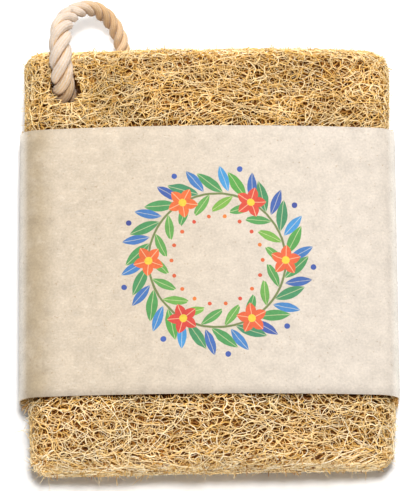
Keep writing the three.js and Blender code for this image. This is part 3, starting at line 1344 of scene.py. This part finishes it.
@dataclass
class LoofahPad:
    """The pad: layers of fibre net round a darker inside that is painted shade, with long fibres and cut
    ends.
    """

    form: PadForm = field(default_factory=PadForm)
    route: CordRoute = field(default_factory=CordRoute)
    # Painted shade: the deeper a layer lies, the darker the tints it takes, standing for the shade inside
    # the net.
    layers: tuple[NetLayer, ...] = (
        NetLayer(seed=11, depth=0.15, spread=0.5, mesh=(3.7, 2.5), radius=0.17, step=0.9, tint=(0.55, 1.0)),
        NetLayer(seed=12, depth=0.75, spread=0.55, mesh=(3.1, 2.1), radius=0.17, step=0.95, tint=(0.4, 0.9)),
        NetLayer(
            seed=13, depth=1.55, spread=0.55, mesh=(2.9, 2.0), radius=0.19, step=1.05, tint=(0.15, 0.6)
        ),
        NetLayer(seed=14, depth=2.4, spread=0.5, mesh=(2.8, 2.0), radius=0.22, step=1.15, tint=(0.0, 0.35)),
    )
    hidden: NetLayer = NetLayer(
        seed=16, depth=0.4, spread=0.25, mesh=(9.0, 4.6), radius=0.24, step=1.7, tint=(0.3, 0.8)
    )
    core: ShadeCore = ShadeCore()
    long_fibres: LongFibres = LongFibres()
    curls: Curls = Curls()
    hairs: Hairs = Hairs()
    low_end_share: float = 0.55
    high_end_darker: float = 0.1
    cord_room: float = 0.25
    hole_floor: float = 12.0

    def clear_of_cord(self, strands: list[Strand]) -> list[Strand]:
        """Take away what the cord and its hole need.

        Args:
            strands: Fibres.

        Returns:
            The fibres, with the stretches in the way cut out.
        """
        line = np.concatenate([strand.line for strand in strands])
        free = ~self.route.blocks(line, self.cord_room, self.hole_floor)
        kept = []
        start = 0
        for strand in strands:
            mask = free[start:start + len(strand.line)]
            start += len(strand.line)
            if mask.all():
                kept.append(strand)
                continue
            for run in runs_of(mask):
                kept.append(Strand(strand.line[run], strand.up[run], strand.radius[run], strand.tint))
        return kept

    def build(self, fibre: bpy.types.Material, shade_finish: bpy.types.Material) -> None:
        """Make the pad's pieces.

        Args:
            fibre: Finish of the fibres.
            shade_finish: Finish of the inside, which is painted shade.
        """
        form = self.form
        # The inside is a closed dark sheet of painted shade under the net.
        self._store(self.core.build(form, self.route), "loofah_shade_core", shade_finish)
        ends = ((Zone.LOW, self.low_end_share, 0.0), (Zone.HIGH, 1.0, self.high_end_darker))
        for zone, share, darker in ends:
            laid = {f"net_{zone.value}_{number}": layer.strands(form, zone)
                    for number, layer in enumerate(self.layers, start=1)}
            long_fibres = self.long_fibres.strands(form, zone, share)
            laid[f"long_fibres_{zone.value}"] = long_fibres + self.curls.strands(form, zone, share)
            laid[f"hairs_{zone.value}"] = self.hairs.strands(form, zone)
            for name, strands in laid.items():
                build = MeshBuild()
                add_tubes(build, self.clear_of_cord(strands), darker)
                self._store(build, f"loofah_{name}", fibre)
        build = MeshBuild()
        add_tubes(build, self.hidden.strands(form, Zone.HIDDEN))
        self._store(build, "loofah_net_hidden", fibre)

    def _store(self, build: MeshBuild, name: str, material: bpy.types.Material) -> None:
        """Finish one of the pad's meshes and place it."""
        place(build.finish(name), material, Solid.PAD)
        LOG.info("%s: %d triangles", name, build.triangles())


def new_group(name: str, takes: tuple[str, ...], gives: tuple[str, ...]) -> tuple[bpy.types.NodeTree, Nodes]:
    """Start a node group whose sockets are all numbers.

    Args:
        name: Its name.
        takes: Names of its inputs.
        gives: Names of its outputs.

    Returns:
        The group and its nodes.
    """
    tree = bpy.data.node_groups.new(name, "ShaderNodeTree")
    for socket in takes:
        tree.interface.new_socket(socket, in_out="INPUT", socket_type="NodeSocketFloat")
    for socket in gives:
        tree.interface.new_socket(socket, in_out="OUTPUT", socket_type="NodeSocketFloat")
    return tree, Nodes(tree)


def spokes_group() -> bpy.types.NodeTree:
    """Group that repeats a motif round a point.

    Returns:
        The group, which gives each sector its own coordinates and number.
    """
    tree, nodes = new_group("spokes", ("X", "Y", "Count", "Phase", "Distance", "Tilt"), ("X", "Y", "Number"))
    given = nodes.add("NodeGroupInput").outputs
    whole = 2 * math.pi
    angle = nodes.math("DIVIDE", nodes.math("ARCTAN2", given["Y"], given["X"]), whole)
    sectors = nodes.math("ADD", nodes.math("MULTIPLY", angle, given["Count"]), given["Phase"])
    number = nodes.math("FLOORED_MODULO", nodes.math("FLOOR", sectors), given["Count"])
    part = nodes.math("SUBTRACT", nodes.math("FRACT", sectors), 0.5)
    swing = nodes.math("DIVIDE", nodes.math("MULTIPLY", part, whole), given["Count"])
    squares = [nodes.math("MULTIPLY", given[axis], given[axis]) for axis in ("X", "Y")]
    reach = nodes.math("SQRT", nodes.math("ADD", *squares))
    ahead = nodes.math("MULTIPLY", reach, nodes.math("COSINE", swing))
    ahead = nodes.math("SUBTRACT", ahead, given["Distance"])
    aside = nodes.math("MULTIPLY", reach, nodes.math("SINE", swing))
    cos, sin = nodes.math("COSINE", given["Tilt"]), nodes.math("SINE", given["Tilt"])
    x = nodes.math("ADD", nodes.math("MULTIPLY", ahead, cos), nodes.math("MULTIPLY", aside, sin))
    y = nodes.math("SUBTRACT", nodes.math("MULTIPLY", aside, cos), nodes.math("MULTIPLY", ahead, sin))
    nodes.add("NodeGroupOutput", {"X": x, "Y": y, "Number": number})
    return tree


def blade_group() -> bpy.types.NodeTree:
    """Group that draws a pointed blade along X.

    Returns:
        The group, which gives the blade's mask and how far from its middle line a place is.
    """
    soft_edge = 0.08
    tree, nodes = new_group("blade", ("X", "Y", "Length", "Width"), ("Mask", "Vein"))
    given = nodes.add("NodeGroupInput").outputs
    share = nodes.math("DIVIDE", given["X"], given["Length"])
    profile = nodes.math("SUBTRACT", 1.0, nodes.math("MULTIPLY", share, share))
    off = nodes.math("DIVIDE", nodes.math("ABSOLUTE", given["Y"]), given["Width"])
    mask = nodes.fade(nodes.math("SUBTRACT", profile, off), 0.0, soft_edge)
    nodes.add("NodeGroupOutput", {"Mask": mask, "Vein": off})
    return tree


@dataclass(frozen=True)
class Motif:
    """One ring of leaves, petals or dots in the print, in millimetres."""

    count: int
    phase: float
    distance: float
    length: float = 0.0
    width: float = 0.0
    inks: tuple[tuple[float, ...], ...] = ()
    tilt: float = 0.0
    vein: float = 0.0


@dataclass(frozen=True)
class WreathPrint:
    """A printed wreath: a ring of leaves, berries and five-petalled flowers round a bare middle."""

    centre: tuple[float, float] = (2.8, -2.8)
    ring: float = 22.0
    stem_width: float = 0.45
    stem_ink: tuple[float, ...] = srgb(92, 108, 54)
    leaves: tuple[Motif, ...] = (
        Motif(count=18, phase=0.25, distance=27.0, length=4.6, width=1.6, tilt=math.radians(24), vein=0.1,
              inks=(srgb(36, 132, 186), srgb(24, 62, 140))),
        Motif(count=18, phase=0.75, distance=25.6, length=5.4, width=1.9, tilt=math.radians(48), vein=0.1,
              inks=(srgb(62, 140, 46), srgb(26, 114, 78))),
        Motif(count=18, phase=0.25, distance=18.6, length=4.6, width=1.5, tilt=math.radians(-50), vein=0.1,
              inks=(srgb(104, 156, 48), srgb(44, 128, 62))),
    )
    berries: tuple[Motif, ...] = (
        Motif(count=9, phase=0.6, distance=31.0, width=1.0, inks=(srgb(20, 44, 124), srgb(30, 76, 156))),
        Motif(count=18, phase=0.5, distance=14.6, width=0.7, inks=(srgb(204, 108, 26), srgb(186, 44, 28))),
    )
    flowers: Motif = Motif(count=6, phase=0.5, distance=22.0)
    petals: Motif = Motif(count=5, phase=0.3, distance=2.5, length=2.6, width=1.75, vein=0.12,
                          inks=(srgb(188, 38, 28), srgb(206, 92, 26)))
    heart: float = 1.35
    heart_ink: tuple[float, ...] = srgb(208, 178, 34)
    vein_ink: tuple[float, ...] = srgb(236, 222, 178)
    vein_cover: float = 0.45
    stem_core: float = 0.6
    dot_core: float = 0.85
    wobble: float = 0.25
    wobble_scale: float = 260.0
    front: tuple[float, float] = (10.0, 12.0)

    def group(self) -> bpy.types.NodeTree:
        """Make a node group that draws the print.

        Returns:
            The group, which gives the ink's colour and where there is ink.
        """
        tree = bpy.data.node_groups.new("wreath print", "ShaderNodeTree")
        tree.interface.new_socket("Color", in_out="OUTPUT", socket_type="NodeSocketColor")
        tree.interface.new_socket("Mask", in_out="OUTPUT", socket_type="NodeSocketFloat")
        nodes = Nodes(tree)
        spokes, blade = spokes_group(), blade_group()
        where = nodes.place()
        axes = nodes.add("ShaderNodeSeparateXYZ", {0: where}).outputs
        swing = nodes.math("SUBTRACT", nodes.noise(where, self.wobble_scale), 0.5)
        wander = nodes.math("MULTIPLY", swing, 2 * self.wobble)
        x, y = (nodes.math("ADD", nodes.math("MULTIPLY_ADD", axes[axis], 1 / MM, -middle), wander)
                for axis, middle in zip("XY", self.centre))
        off_ring = nodes.math("ABSOLUTE", nodes.math("SUBTRACT", self._reach(nodes, x, y), self.ring))
        mask = nodes.fade(off_ring, self.stem_width, self.stem_core * self.stem_width)
        ink: Sockets | tuple[float, ...] = self.stem_ink
        for motif in self.leaves:
            sector = self._spokes(nodes, spokes, motif, x, y)
            ink, mask = self._over(nodes, blade, motif, sector, ink, mask)
        for motif in self.berries:
            sector = self._spokes(nodes, spokes, motif, x, y)
            dot = self._dot(nodes, sector, motif.width)
            ink = nodes.blend(dot, ink, self._varied(nodes, motif, sector["Number"]))
            mask = nodes.math("MAXIMUM", mask, dot)
        flower = self._spokes(nodes, spokes, self.flowers, x, y)
        petal = self._spokes(nodes, spokes, self.petals, flower["X"], flower["Y"])
        ink, mask = self._over(nodes, blade, self.petals, petal, ink, mask, flower["Number"])
        heart = self._dot(nodes, flower, self.heart)
        ink = nodes.blend(heart, ink, self.heart_ink)
        front = nodes.fade(axes["Z"], *(MM * z for z in self.front))
        printed = nodes.math("MULTIPLY", nodes.math("MAXIMUM", mask, heart), front)
        nodes.add("NodeGroupOutput", {"Color": ink, "Mask": printed})
        return tree

    def _reach(self, nodes: Nodes, x: Sockets, y: Sockets) -> Sockets:
        """Distance of a place from the middle of its coordinates."""
        squares = [nodes.math("MULTIPLY", side, side) for side in (x, y)]
        return nodes.math("SQRT", nodes.math("ADD", *squares))

    def _dot(self, nodes: Nodes, sector: dict[str, Sockets], radius: float) -> Sockets:
        """Mask of a round dot in the middle of each sector."""
        return nodes.fade(self._reach(nodes, sector["X"], sector["Y"]), radius, self.dot_core * radius)

    def _spokes(
        self, nodes: Nodes, group: bpy.types.NodeTree, motif: Motif, x: Sockets, y: Sockets
    ) -> dict[str, Sockets]:
        """Find a motif's sectors.

        Args:
            nodes: Nodes of the print.
            group: The group that repeats a motif.
            motif: The motif.
            x: Where a place is across.
            y: Where a place is along.

        Returns:
            Coordinates in the place's sector and the sector's number.
        """
        given = {"X": x, "Y": y, "Count": float(motif.count), "Phase": motif.phase,
                 "Distance": motif.distance, "Tilt": motif.tilt}
        node = nodes.add("ShaderNodeGroup", given, node_tree=group)
        return {name: node.outputs[name] for name in ("X", "Y", "Number")}

    def _varied(self, nodes: Nodes, motif: Motif, number: Sockets) -> Sockets:
        """A motif's ink, mixed differently from one sector to the next."""
        chance = nodes.add("ShaderNodeTexWhiteNoise", {"W": number}, noise_dimensions="1D").outputs["Value"]
        return nodes.blend(chance, *motif.inks)

    def _over(
        self, nodes: Nodes, blade: bpy.types.NodeTree, motif: Motif, sector: dict[str, Sockets], ink: object,
        mask: Sockets, number: Sockets | None = None,
    ) -> tuple[Sockets, Sockets]:
        """Print a motif's blades over what is there.

        Args:
            nodes: Nodes of the print.
            blade: The group that draws a blade.
            motif: The motif.
            sector: Coordinates and number of its sectors.
            ink: Ink so far.
            mask: Where there is ink so far.
            number: What the ink varies by, if not by the sector.

        Returns:
            The ink and where there is ink, with the motif added.
        """
        given = {"X": sector["X"], "Y": sector["Y"], "Length": motif.length, "Width": motif.width}
        drawn = nodes.add("ShaderNodeGroup", given, node_tree=blade).outputs
        colour = self._varied(nodes, motif, sector["Number"] if number is None else number)
        rib = nodes.fade(drawn["Vein"], motif.vein, 0.0, 0.0, self.vein_cover)
        colour = nodes.blend(rib, colour, self.vein_ink)
        return nodes.blend(drawn["Mask"], ink, colour), nodes.math("MAXIMUM", mask, drawn["Mask"])


@dataclass(frozen=True)
class PaperFinish:
    """Recycled kraft paper: mottled cream with brown flecks and pale fibres, printed on the front, with
    painted light: paler towards the right, painted highlights on the folds and a rub mark at the left fold
    that is partly painted shade.
    """

    base: tuple[float, ...] = srgb(188, 173, 153)
    # Painted light: the paper turns paler towards the right, as if lit from that side.
    lit_right_tone: tuple[float, ...] = srgb(194, 183, 170)
    lit_right_run: tuple[float, float] = (-45.0, 50.0)
    fleck: tuple[float, ...] = srgb(150, 122, 90)
    flecks: Speckle = Speckle(scale=1100.0, detail=2.0, rough=0.6, shown=(0.63, 0.74), strength=(0.0, 0.45))
    pale: tuple[float, ...] = srgb(203, 191, 174)
    fibres: Speckle = Speckle(scale=420.0, detail=3.0, rough=0.7, shown=(0.52, 0.72), strength=(0.0, 0.6))
    fibre_squeeze: tuple[float, float, float] = (1.0, 3.5, 3.5)
    # A darker mottled band at the left fold: partly a rub mark, partly painted shade on the side turned from
    # the light.
    rub_and_shade: tuple[float, ...] = srgb(162, 145, 119)
    rub_and_shade_patches: Speckle = Speckle(scale=150.0, detail=4.0, rough=0.6, shown=(0.25, 0.6), strength=(0.45, 1.0))
    rub_and_shade_at: tuple[float, float] = (-55.6, 8.5)
    # Painted highlight: pale rims on the front of both folds.
    fold_highlight: tuple[float, ...] = srgb(236, 229, 218)
    fold_highlight_from: tuple[float, float] = (57.8, 61.0)
    fold_highlight_above: tuple[float, float] = (10.0, 16.0)
    fold_highlight_cover: float = 0.75
    printed: WreathPrint = WreathPrint()
    ink_cover: float = 0.93
    surface: Surface = Surface(
        patches=220.0, grains=1500.0, strength=0.4, bump=0.25, bump_depth=0.0001, roughness=0.85
    )

    def material(self, mottle: bpy.types.NodeTree) -> bpy.types.Material:
        """Make the material.

        Args:
            mottle: The shared colour variation.

        Returns:
            The material.
        """
        material, nodes, shader = new_material("kraft paper")
        where = nodes.place()
        axes = nodes.add("ShaderNodeSeparateXYZ", {0: where}).outputs
        x, z = (nodes.math("MULTIPLY", axes[axis], 1 / MM) for axis in "XZ")
        # Painted light: paler towards the right, as if lit from that side.
        ground = nodes.blend(nodes.fade(x, *self.lit_right_run), self.base, self.lit_right_tone)
        drawn = nodes.add("ShaderNodeMapping", {"Vector": where, "Scale": self.fibre_squeeze}).outputs[0]
        ground = nodes.blend(self.fibres.mask(nodes, drawn), ground, self.pale)
        # Rub mark and painted shade: the band along the left fold is darkened partly as a rub mark and
        # partly as shade on the side away from the light.
        middle, reach = self.rub_and_shade_at
        off_band = nodes.math("ABSOLUTE", nodes.math("SUBTRACT", x, middle))
        rub_and_shade_share = nodes.math("MULTIPLY", nodes.fade(off_band, reach, 0.0), self.rub_and_shade_patches.mask(nodes, where))
        ground = nodes.blend(rub_and_shade_share, ground, self.rub_and_shade)
        # Painted highlight: the paper turns pale on the front of both folds.
        on_fold = nodes.fade(nodes.math("ABSOLUTE", x), *self.fold_highlight_from, 0.0, self.fold_highlight_cover)
        fold_highlight_share = nodes.math("MULTIPLY", on_fold, nodes.fade(z, *self.fold_highlight_above))
        ground = nodes.blend(fold_highlight_share, ground, self.fold_highlight)
        paper = nodes.blend(self.flecks.mask(nodes, where), ground, self.fleck)
        wreath = nodes.add("ShaderNodeGroup", node_tree=self.printed.group()).outputs
        cover = nodes.math("MULTIPLY", wreath["Mask"], self.ink_cover)
        self.surface.dress(nodes, shader, mottle, nodes.blend(cover, paper, wreath["Color"]))
        return material


@dataclass
class PaperSleeve:
    """The paper sleeve: one strip bent round the pad, its ends glued one over the other at the back."""

    form: PadForm = field(default_factory=PadForm)
    paper: float = 0.4
    gap: float = 0.3
    slack: float = 0.8
    fold_radius: float = 6.0
    lap_start: float = 14.0
    lap_end: float = 30.0
    column_step: float = 1.24
    fine_step: float = 0.2
    rows: int = 24
    turn_points: int = 24
    flat_points: int = 120

    def section(self) -> Array:
        """Middle line of the paper round the pad.

        Returns:
            Rows of x and z, from the covered end of the strip round to the outer end.
        """
        half_paper = self.paper / 2
        half = self.form.width / 2 + self.slack + half_paper
        top = self.form.back + self.form.side_thickness - self.form.pinch + self.gap + half_paper
        radius = self.fold_radius + half_paper
        inner, outer = 3 * half_paper, half_paper
        turn = np.linspace(0, math.pi / 2, self.turn_points)
        cos, sin = radius * np.cos(turn), radius * np.sin(turn)
        flat = np.linspace(half - radius, radius - half, self.flat_points)
        corners = [
            (np.array([self.lap_start]), np.array([inner])),
            (half - radius + sin, inner + radius - cos),
            (half - radius + cos, top - radius + sin),
            (flat, np.full(len(flat), top)),
            (radius - half - sin, top - radius + cos),
            (radius - half - cos, outer + radius - sin),
            (np.array([self.lap_end]), np.array([outer])),
        ]
        x = np.concatenate([c[0] for c in corners])
        z = np.concatenate([c[1] for c in corners])
        share = np.clip(z / (top + half_paper), 0, None)
        z = z + self.form.crown * (1 - (2 * x / self.form.width) ** 2) * share
        return resample(np.stack([x, z], axis=1), self.fine_step)

    def build(self, finish: bpy.types.Material) -> None:
        """Make the sleeve.

        Args:
            finish: Its material.
        """
        line = resample(self.section(), self.column_step)
        count = len(line)
        heading = unit(np.gradient(line, axis=0))
        normal = np.stack([heading[:, 1], -heading[:, 0]], axis=1)
        rows = np.linspace(self.form.sleeve_low, self.form.sleeve_high, self.rows)
        build = MeshBuild()
        skins = []
        for side in (1.0, -1.0):
            around = line + side * self.paper / 2 * normal
            grid = np.empty((self.rows, count, 3))
            grid[..., 0] = around[:, 0]
            grid[..., 1] = rows[:, None]
            grid[..., 2] = np.maximum(around[:, 1], 0.0)
            skins.append(grid.reshape(-1, 3))
        index = np.arange(self.rows * count).reshape(self.rows, count)
        under = index + self.rows * count
        corners = [index[:-1, :-1], index[1:, :-1], index[1:, 1:], index[:-1, 1:]]
        outer = np.stack(corners, axis=-1).reshape(-1, 4)
        inner = outer[:, ::-1] + self.rows * count
        edges = [
            np.stack([index[0, :-1], index[0, 1:], under[0, 1:], under[0, :-1]], axis=-1),
            np.stack([index[-1, 1:], index[-1, :-1], under[-1, :-1], under[-1, 1:]], axis=-1),
            np.stack([index[1:, 0], index[:-1, 0], under[:-1, 0], under[1:, 0]], axis=-1),
            np.stack([index[:-1, -1], index[1:, -1], under[1:, -1], under[:-1, -1]], axis=-1),
        ]
        build.add(np.concatenate(skins), [outer, inner, *edges])
        place(build.finish("paper_sleeve_strip"), finish, Solid.SLEEVE)
        LOG.info("paper_sleeve_strip: %d triangles", build.triangles())


@dataclass(frozen=True)
class CottonFinish:
    """Undyed laid cotton: warm cream, with painted shade in the grooves between the strands and the yarns,
    and a tan tone for soiling and painted shade along the cord.
    """

    base: tuple[float, ...] = srgb(206, 190, 175)
    soil_and_shade: tuple[float, ...] = srgb(206, 172, 130)
    groove_shade: tuple[float, ...] = srgb(150, 96, 40)
    stops: tuple[float, ...] = (0.0, 0.42, 0.75)
    sheen: float = 0.25
    surface: Surface = Surface(
        patches=400.0, grains=2500.0, strength=0.4, bump=0.6, bump_depth=0.0003, roughness=0.9
    )

    def material(self, mottle: bpy.types.NodeTree) -> bpy.types.Material:
        """Make the material.

        Args:
            mottle: The shared colour variation.

        Returns:
            The material.
        """
        material, nodes, shader = new_material("cotton cord")
        tint = nodes.add("ShaderNodeAttribute", attribute_name="tint").outputs["Fac"]
        # Painted shade: the groove tone and the tan tone darken the cord where its tint is low.
        colour = nodes.ramp(tint, list(zip(self.stops, (self.groove_shade, self.soil_and_shade, self.base))))
        self.surface.dress(nodes, shader, mottle, colour)
        shader.inputs["Sheen Weight"].default_value = self.sheen
        return material


@dataclass(frozen=True)
class Fuzz:
    """Loose ends of cotton that stand a little off the cord."""

    seed: int = 47
    count: int = 700
    root: float = 0.9
    length: tuple[float, float] = (0.4, 1.1)
    lean: float = 1.3
    curl: float = 0.35
    radius: tuple[float, ...] = (0.05, 0.045, 0.04, 0.025)
    tint: float = 0.9

    def strands(self, line: Array, up: Array, side: Array, radius: Array) -> list[Strand]:
        """Set the loose ends on the cord.

        Args:
            line: Middle line of the cord.
            up: Sideways directions along it.
            side: The other sideways directions.
            radius: Its radius.

        Returns:
            The loose ends.
        """
        rng = np.random.default_rng(self.seed)
        at = rng.integers(0, len(line), self.count)
        turn = rng.uniform(0, 2 * math.pi, (self.count, 1))
        out = np.cos(turn) * up[at] + np.sin(turn) * side[at]
        root = line[at] + self.root * radius[at, None] * out
        length = rng.uniform(*self.length, (self.count, 1))
        reach = length * unit(out + self.lean * unit(rng.normal(size=(self.count, 3))))
        curl = self.curl * unit(rng.normal(size=(self.count, 3)))
        share = np.linspace(0, 1, len(self.radius))[:, None]
        lines = root[:, None] + reach[:, None] * share + curl[:, None] * share**2
        ups = np.repeat(side[at][:, None], len(share), axis=1)
        return [Strand(*end, np.array(self.radius), self.tint) for end in zip(lines, ups)]


@dataclass
class HangingCord:
    """The hanging cord: three strands of yarns laid together, closed into a loop inside the hole."""

    route: CordRoute = field(default_factory=CordRoute)
    diameter: float = 6.0
    lay: float = 12.5
    loose_lay: float = 17.0
    strands: int = 3
    yarns: int = 11
    sides: int = 44
    steps: int = 230
    path_step: int = 8
    strand_off: float = 0.54
    strand_radius: float = 0.47
    yarn_turn: float = 1.6
    yarn_depth: float = 0.05
    yarn_shade_tint: tuple[float, float] = (0.74, 0.26)
    groove_shade_run: tuple[float, float] = (-0.45, 0.4)
    # Darker stretches along the cord: the end inside the hole is painted shade; the back stretch is partly
    # soiling, partly painted shade.
    soil_and_shade_runs: tuple[tuple[float, float, float], ...] = (
        (0.52, 0.36, 0.5),
        (-0.17, 0.52, 0.62),
        (0.5, 0.2, 0.0),
    )
    fuzz: Fuzz = Fuzz()

    def build(self, finish: bpy.types.Material) -> None:
        """Make the cord.

        Args:
            finish: Its material.
        """
        line = self.route.points(self.steps)
        gone = run_along(line)
        share = gone / gone[-1]
        radius = self.route.radius(share)
        thick = (radius - self.route.back_radius) / (self.route.front_radius - self.route.back_radius)
        lay = self.lay + (self.loose_lay - self.lay) * thick
        turns = np.concatenate(([0.0], np.cumsum(np.diff(gone) / lay[1:])))
        # Darkening along the cord: painted shade at the hole, partly soiling and partly painted shade
        # behind.
        soil_and_shade = sum(amount * smoothstep(share, start, full) for amount, start, full in self.soil_and_shade_runs)
        along = unit(np.gradient(line, axis=0))
        up = self._carried(along)
        side = np.cross(along, up)
        build = MeshBuild()
        for number in range(self.strands):
            turn = 2 * math.pi * (turns + number / self.strands)
            off = np.cos(turn)[:, None] * up + np.sin(turn)[:, None] * side
            middle = line + self.strand_off * radius[:, None] * off
            self._strand(build, middle, off, self.strand_radius * radius, turns, soil_and_shade)
        add_tubes(build, self.fuzz.strands(line, up, side, radius))
        obj = build.finish("hanging_cord_strands")
        place(obj, finish, Solid.CORD)
        LOG.info("hanging_cord_strands: %d triangles, %.1f mm long", build.triangles(), gone[-1])

    def _carried(self, along: Array) -> Array:
        """Carry one sideways direction along the cord without letting it spin.

        Args:
            along: Directions of the cord.

        Returns:
            A sideways direction at each point.
        """
        up = [unit(np.cross(along[0], np.array([1.0, 0.0, 0.0])))]
        for heading in along[1:]:
            up.append(unit(up[-1] - heading * (up[-1] @ heading)))
        return np.array(up)

    def _strand(
        self, build: MeshBuild, middle: Array, out: Array, radius: Array, turns: Array, soil_and_shade: Array
    ) -> None:
        """Sweep one grooved strand.

        Args:
            build: The mesh that takes it.
            middle: Its middle line.
            out: Directions away from the cord's own middle.
            radius: Its radius.
            turns: How often the strands have gone round the cord so far.
            soil_and_shade: How much darker it is along its length: painted shade at the end inside the hole,
                partly soiling and partly painted shade along the back stretch.
        """
        along = unit(np.gradient(middle, axis=0))
        side = unit(np.cross(along, out))
        above = np.cross(side, along)
        angle = 2 * math.pi * np.arange(self.sides) / self.sides
        twist = 2 * math.pi * turns / self.yarn_turn
        lobe = np.cos(self.yarns * (angle[None] + twist[:, None]))
        swell = radius[:, None] * (1 + self.yarn_depth * lobe)
        # Painted shade: the side of each strand that faces into the cord, and the grooves between its yarns,
        # take darker tints.
        out_of_groove_shade = smoothstep(np.cos(angle), *self.groove_shade_run)[None]
        ring = np.cos(angle)[None, :, None] * above[:, None] + np.sin(angle)[None, :, None] * side[:, None]
        points = (middle[:, None] + swell[..., None] * ring).reshape(-1, 3)
        rings = np.arange(len(middle))[:, None] * self.sides + np.arange(self.sides)
        turned = np.roll(rings, -1, axis=1)
        walls = np.stack([rings[:-1], turned[:-1], turned[1:], rings[1:]], axis=-1).reshape(-1, 4)
        tone, swing = self.yarn_shade_tint
        # Painted shade in the grooves, times the darkening along the cord, which is partly soiling and
        # partly painted shade.
        tint = out_of_groove_shade * (tone + swing * lobe) * (1 - soil_and_shade[:, None])
        build.add(points, [walls, rings[:1, ::-1], rings[-1:]], tint.ravel())


@dataclass(frozen=True)
class Lamp:
    """A square lamp that faces the pad: where it hangs, its size and its power."""

    name: str
    spot: tuple[float, float, float]
    size: float
    power: float


@dataclass(frozen=True)
class Studio:
    """White floor, soft light and a camera that looks down at the pad as it lies."""

    tilt: float = math.radians(13.46)
    roll: float = math.radians(-0.39)
    distance: float = 1.162
    lens: float = 263.8
    target: tuple[float, float, float] = (-0.00265, 0.00379, 0.020)
    farthest: float = 50.0
    floor_half: float = 6.0
    floor_shade: float = 0.96
    floor_roughness: float = 0.9
    sky: float = 0.13
    lamps: tuple[Lamp, ...] = (
        Lamp(name="overhead", spot=(0.03, 0.06, 1.2), size=0.18, power=12.9),
        Lamp(name="back", spot=(0.1, 1.2, 1.05), size=0.5, power=19.8),
        Lamp(name="front", spot=(0.25, -2.0, 0.14), size=0.6, power=31.0),
    )

    def camera(self) -> None:
        """Place the camera."""
        data = bpy.data.cameras.new("camera")
        data.lens = self.lens
        data.clip_end = self.farthest
        camera = bpy.data.objects.new("camera", data)
        bpy.context.scene.collection.objects.link(camera)
        away = Vector((0.0, -math.sin(self.tilt), math.cos(self.tilt)))
        turn = away.to_track_quat("Z", "Y").to_matrix().to_4x4() @ Matrix.Rotation(self.roll, 4, "Z")
        camera.matrix_world = Matrix.Translation(Vector(self.target) + away * self.distance) @ turn
        bpy.context.scene.camera = camera

    def floor(self) -> None:
        """Lay the floor."""
        half = self.floor_half
        corners = [(-half, -half, 0), (half, -half, 0), (half, half, 0), (-half, half, 0)]
        mesh = bpy.data.meshes.new("floor")
        mesh.from_pydata(corners, [], [(0, 1, 2, 3)])
        floor = bpy.data.objects.new("floor", mesh)
        bpy.context.scene.collection.objects.link(floor)
        material, _, shader = new_material("pale floor")
        shade = self.floor_shade
        shader.inputs["Base Color"].default_value = (shade, shade, shade, 1.0)
        shader.inputs["Roughness"].default_value = self.floor_roughness
        mesh.materials.append(material)

    def lights(self) -> None:
        """Hang the lights and set the sky."""
        world = bpy.data.worlds.new("studio")
        world.use_nodes = True
        sky = world.node_tree.nodes["Background"]
        sky.inputs["Color"].default_value = (1.0, 1.0, 1.0, 1.0)
        sky.inputs["Strength"].default_value = self.sky
        bpy.context.scene.world = world
        for lamp in self.lamps:
            data = bpy.data.lights.new(lamp.name, "AREA")
            data.size = lamp.size
            data.energy = lamp.power
            hung = bpy.data.objects.new(lamp.name, data)
            facing = Vector(lamp.spot).to_track_quat("Z", "Y").to_matrix().to_4x4()
            hung.matrix_world = Matrix.Translation(lamp.spot) @ facing
            bpy.context.scene.collection.objects.link(hung)
        bpy.context.scene.view_settings.view_transform = "Standard"


def main() -> None:
    """Load the frame, make every piece in order and note the sizes."""
    logging.basicConfig(level=logging.INFO, format="%(name)s: %(message)s")
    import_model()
    studio = Studio()
    studio.camera()
    mottle = mottle_group()
    HangingCord().build(CottonFinish().material(mottle))
    LoofahPad().build(FibreFinish().material(mottle), PaintedShadeFinish().material(mottle))
    PaperSleeve().build(PaperFinish().material(mottle))
    studio.floor()
    studio.lights()


if __name__ == "__main__":
    main()
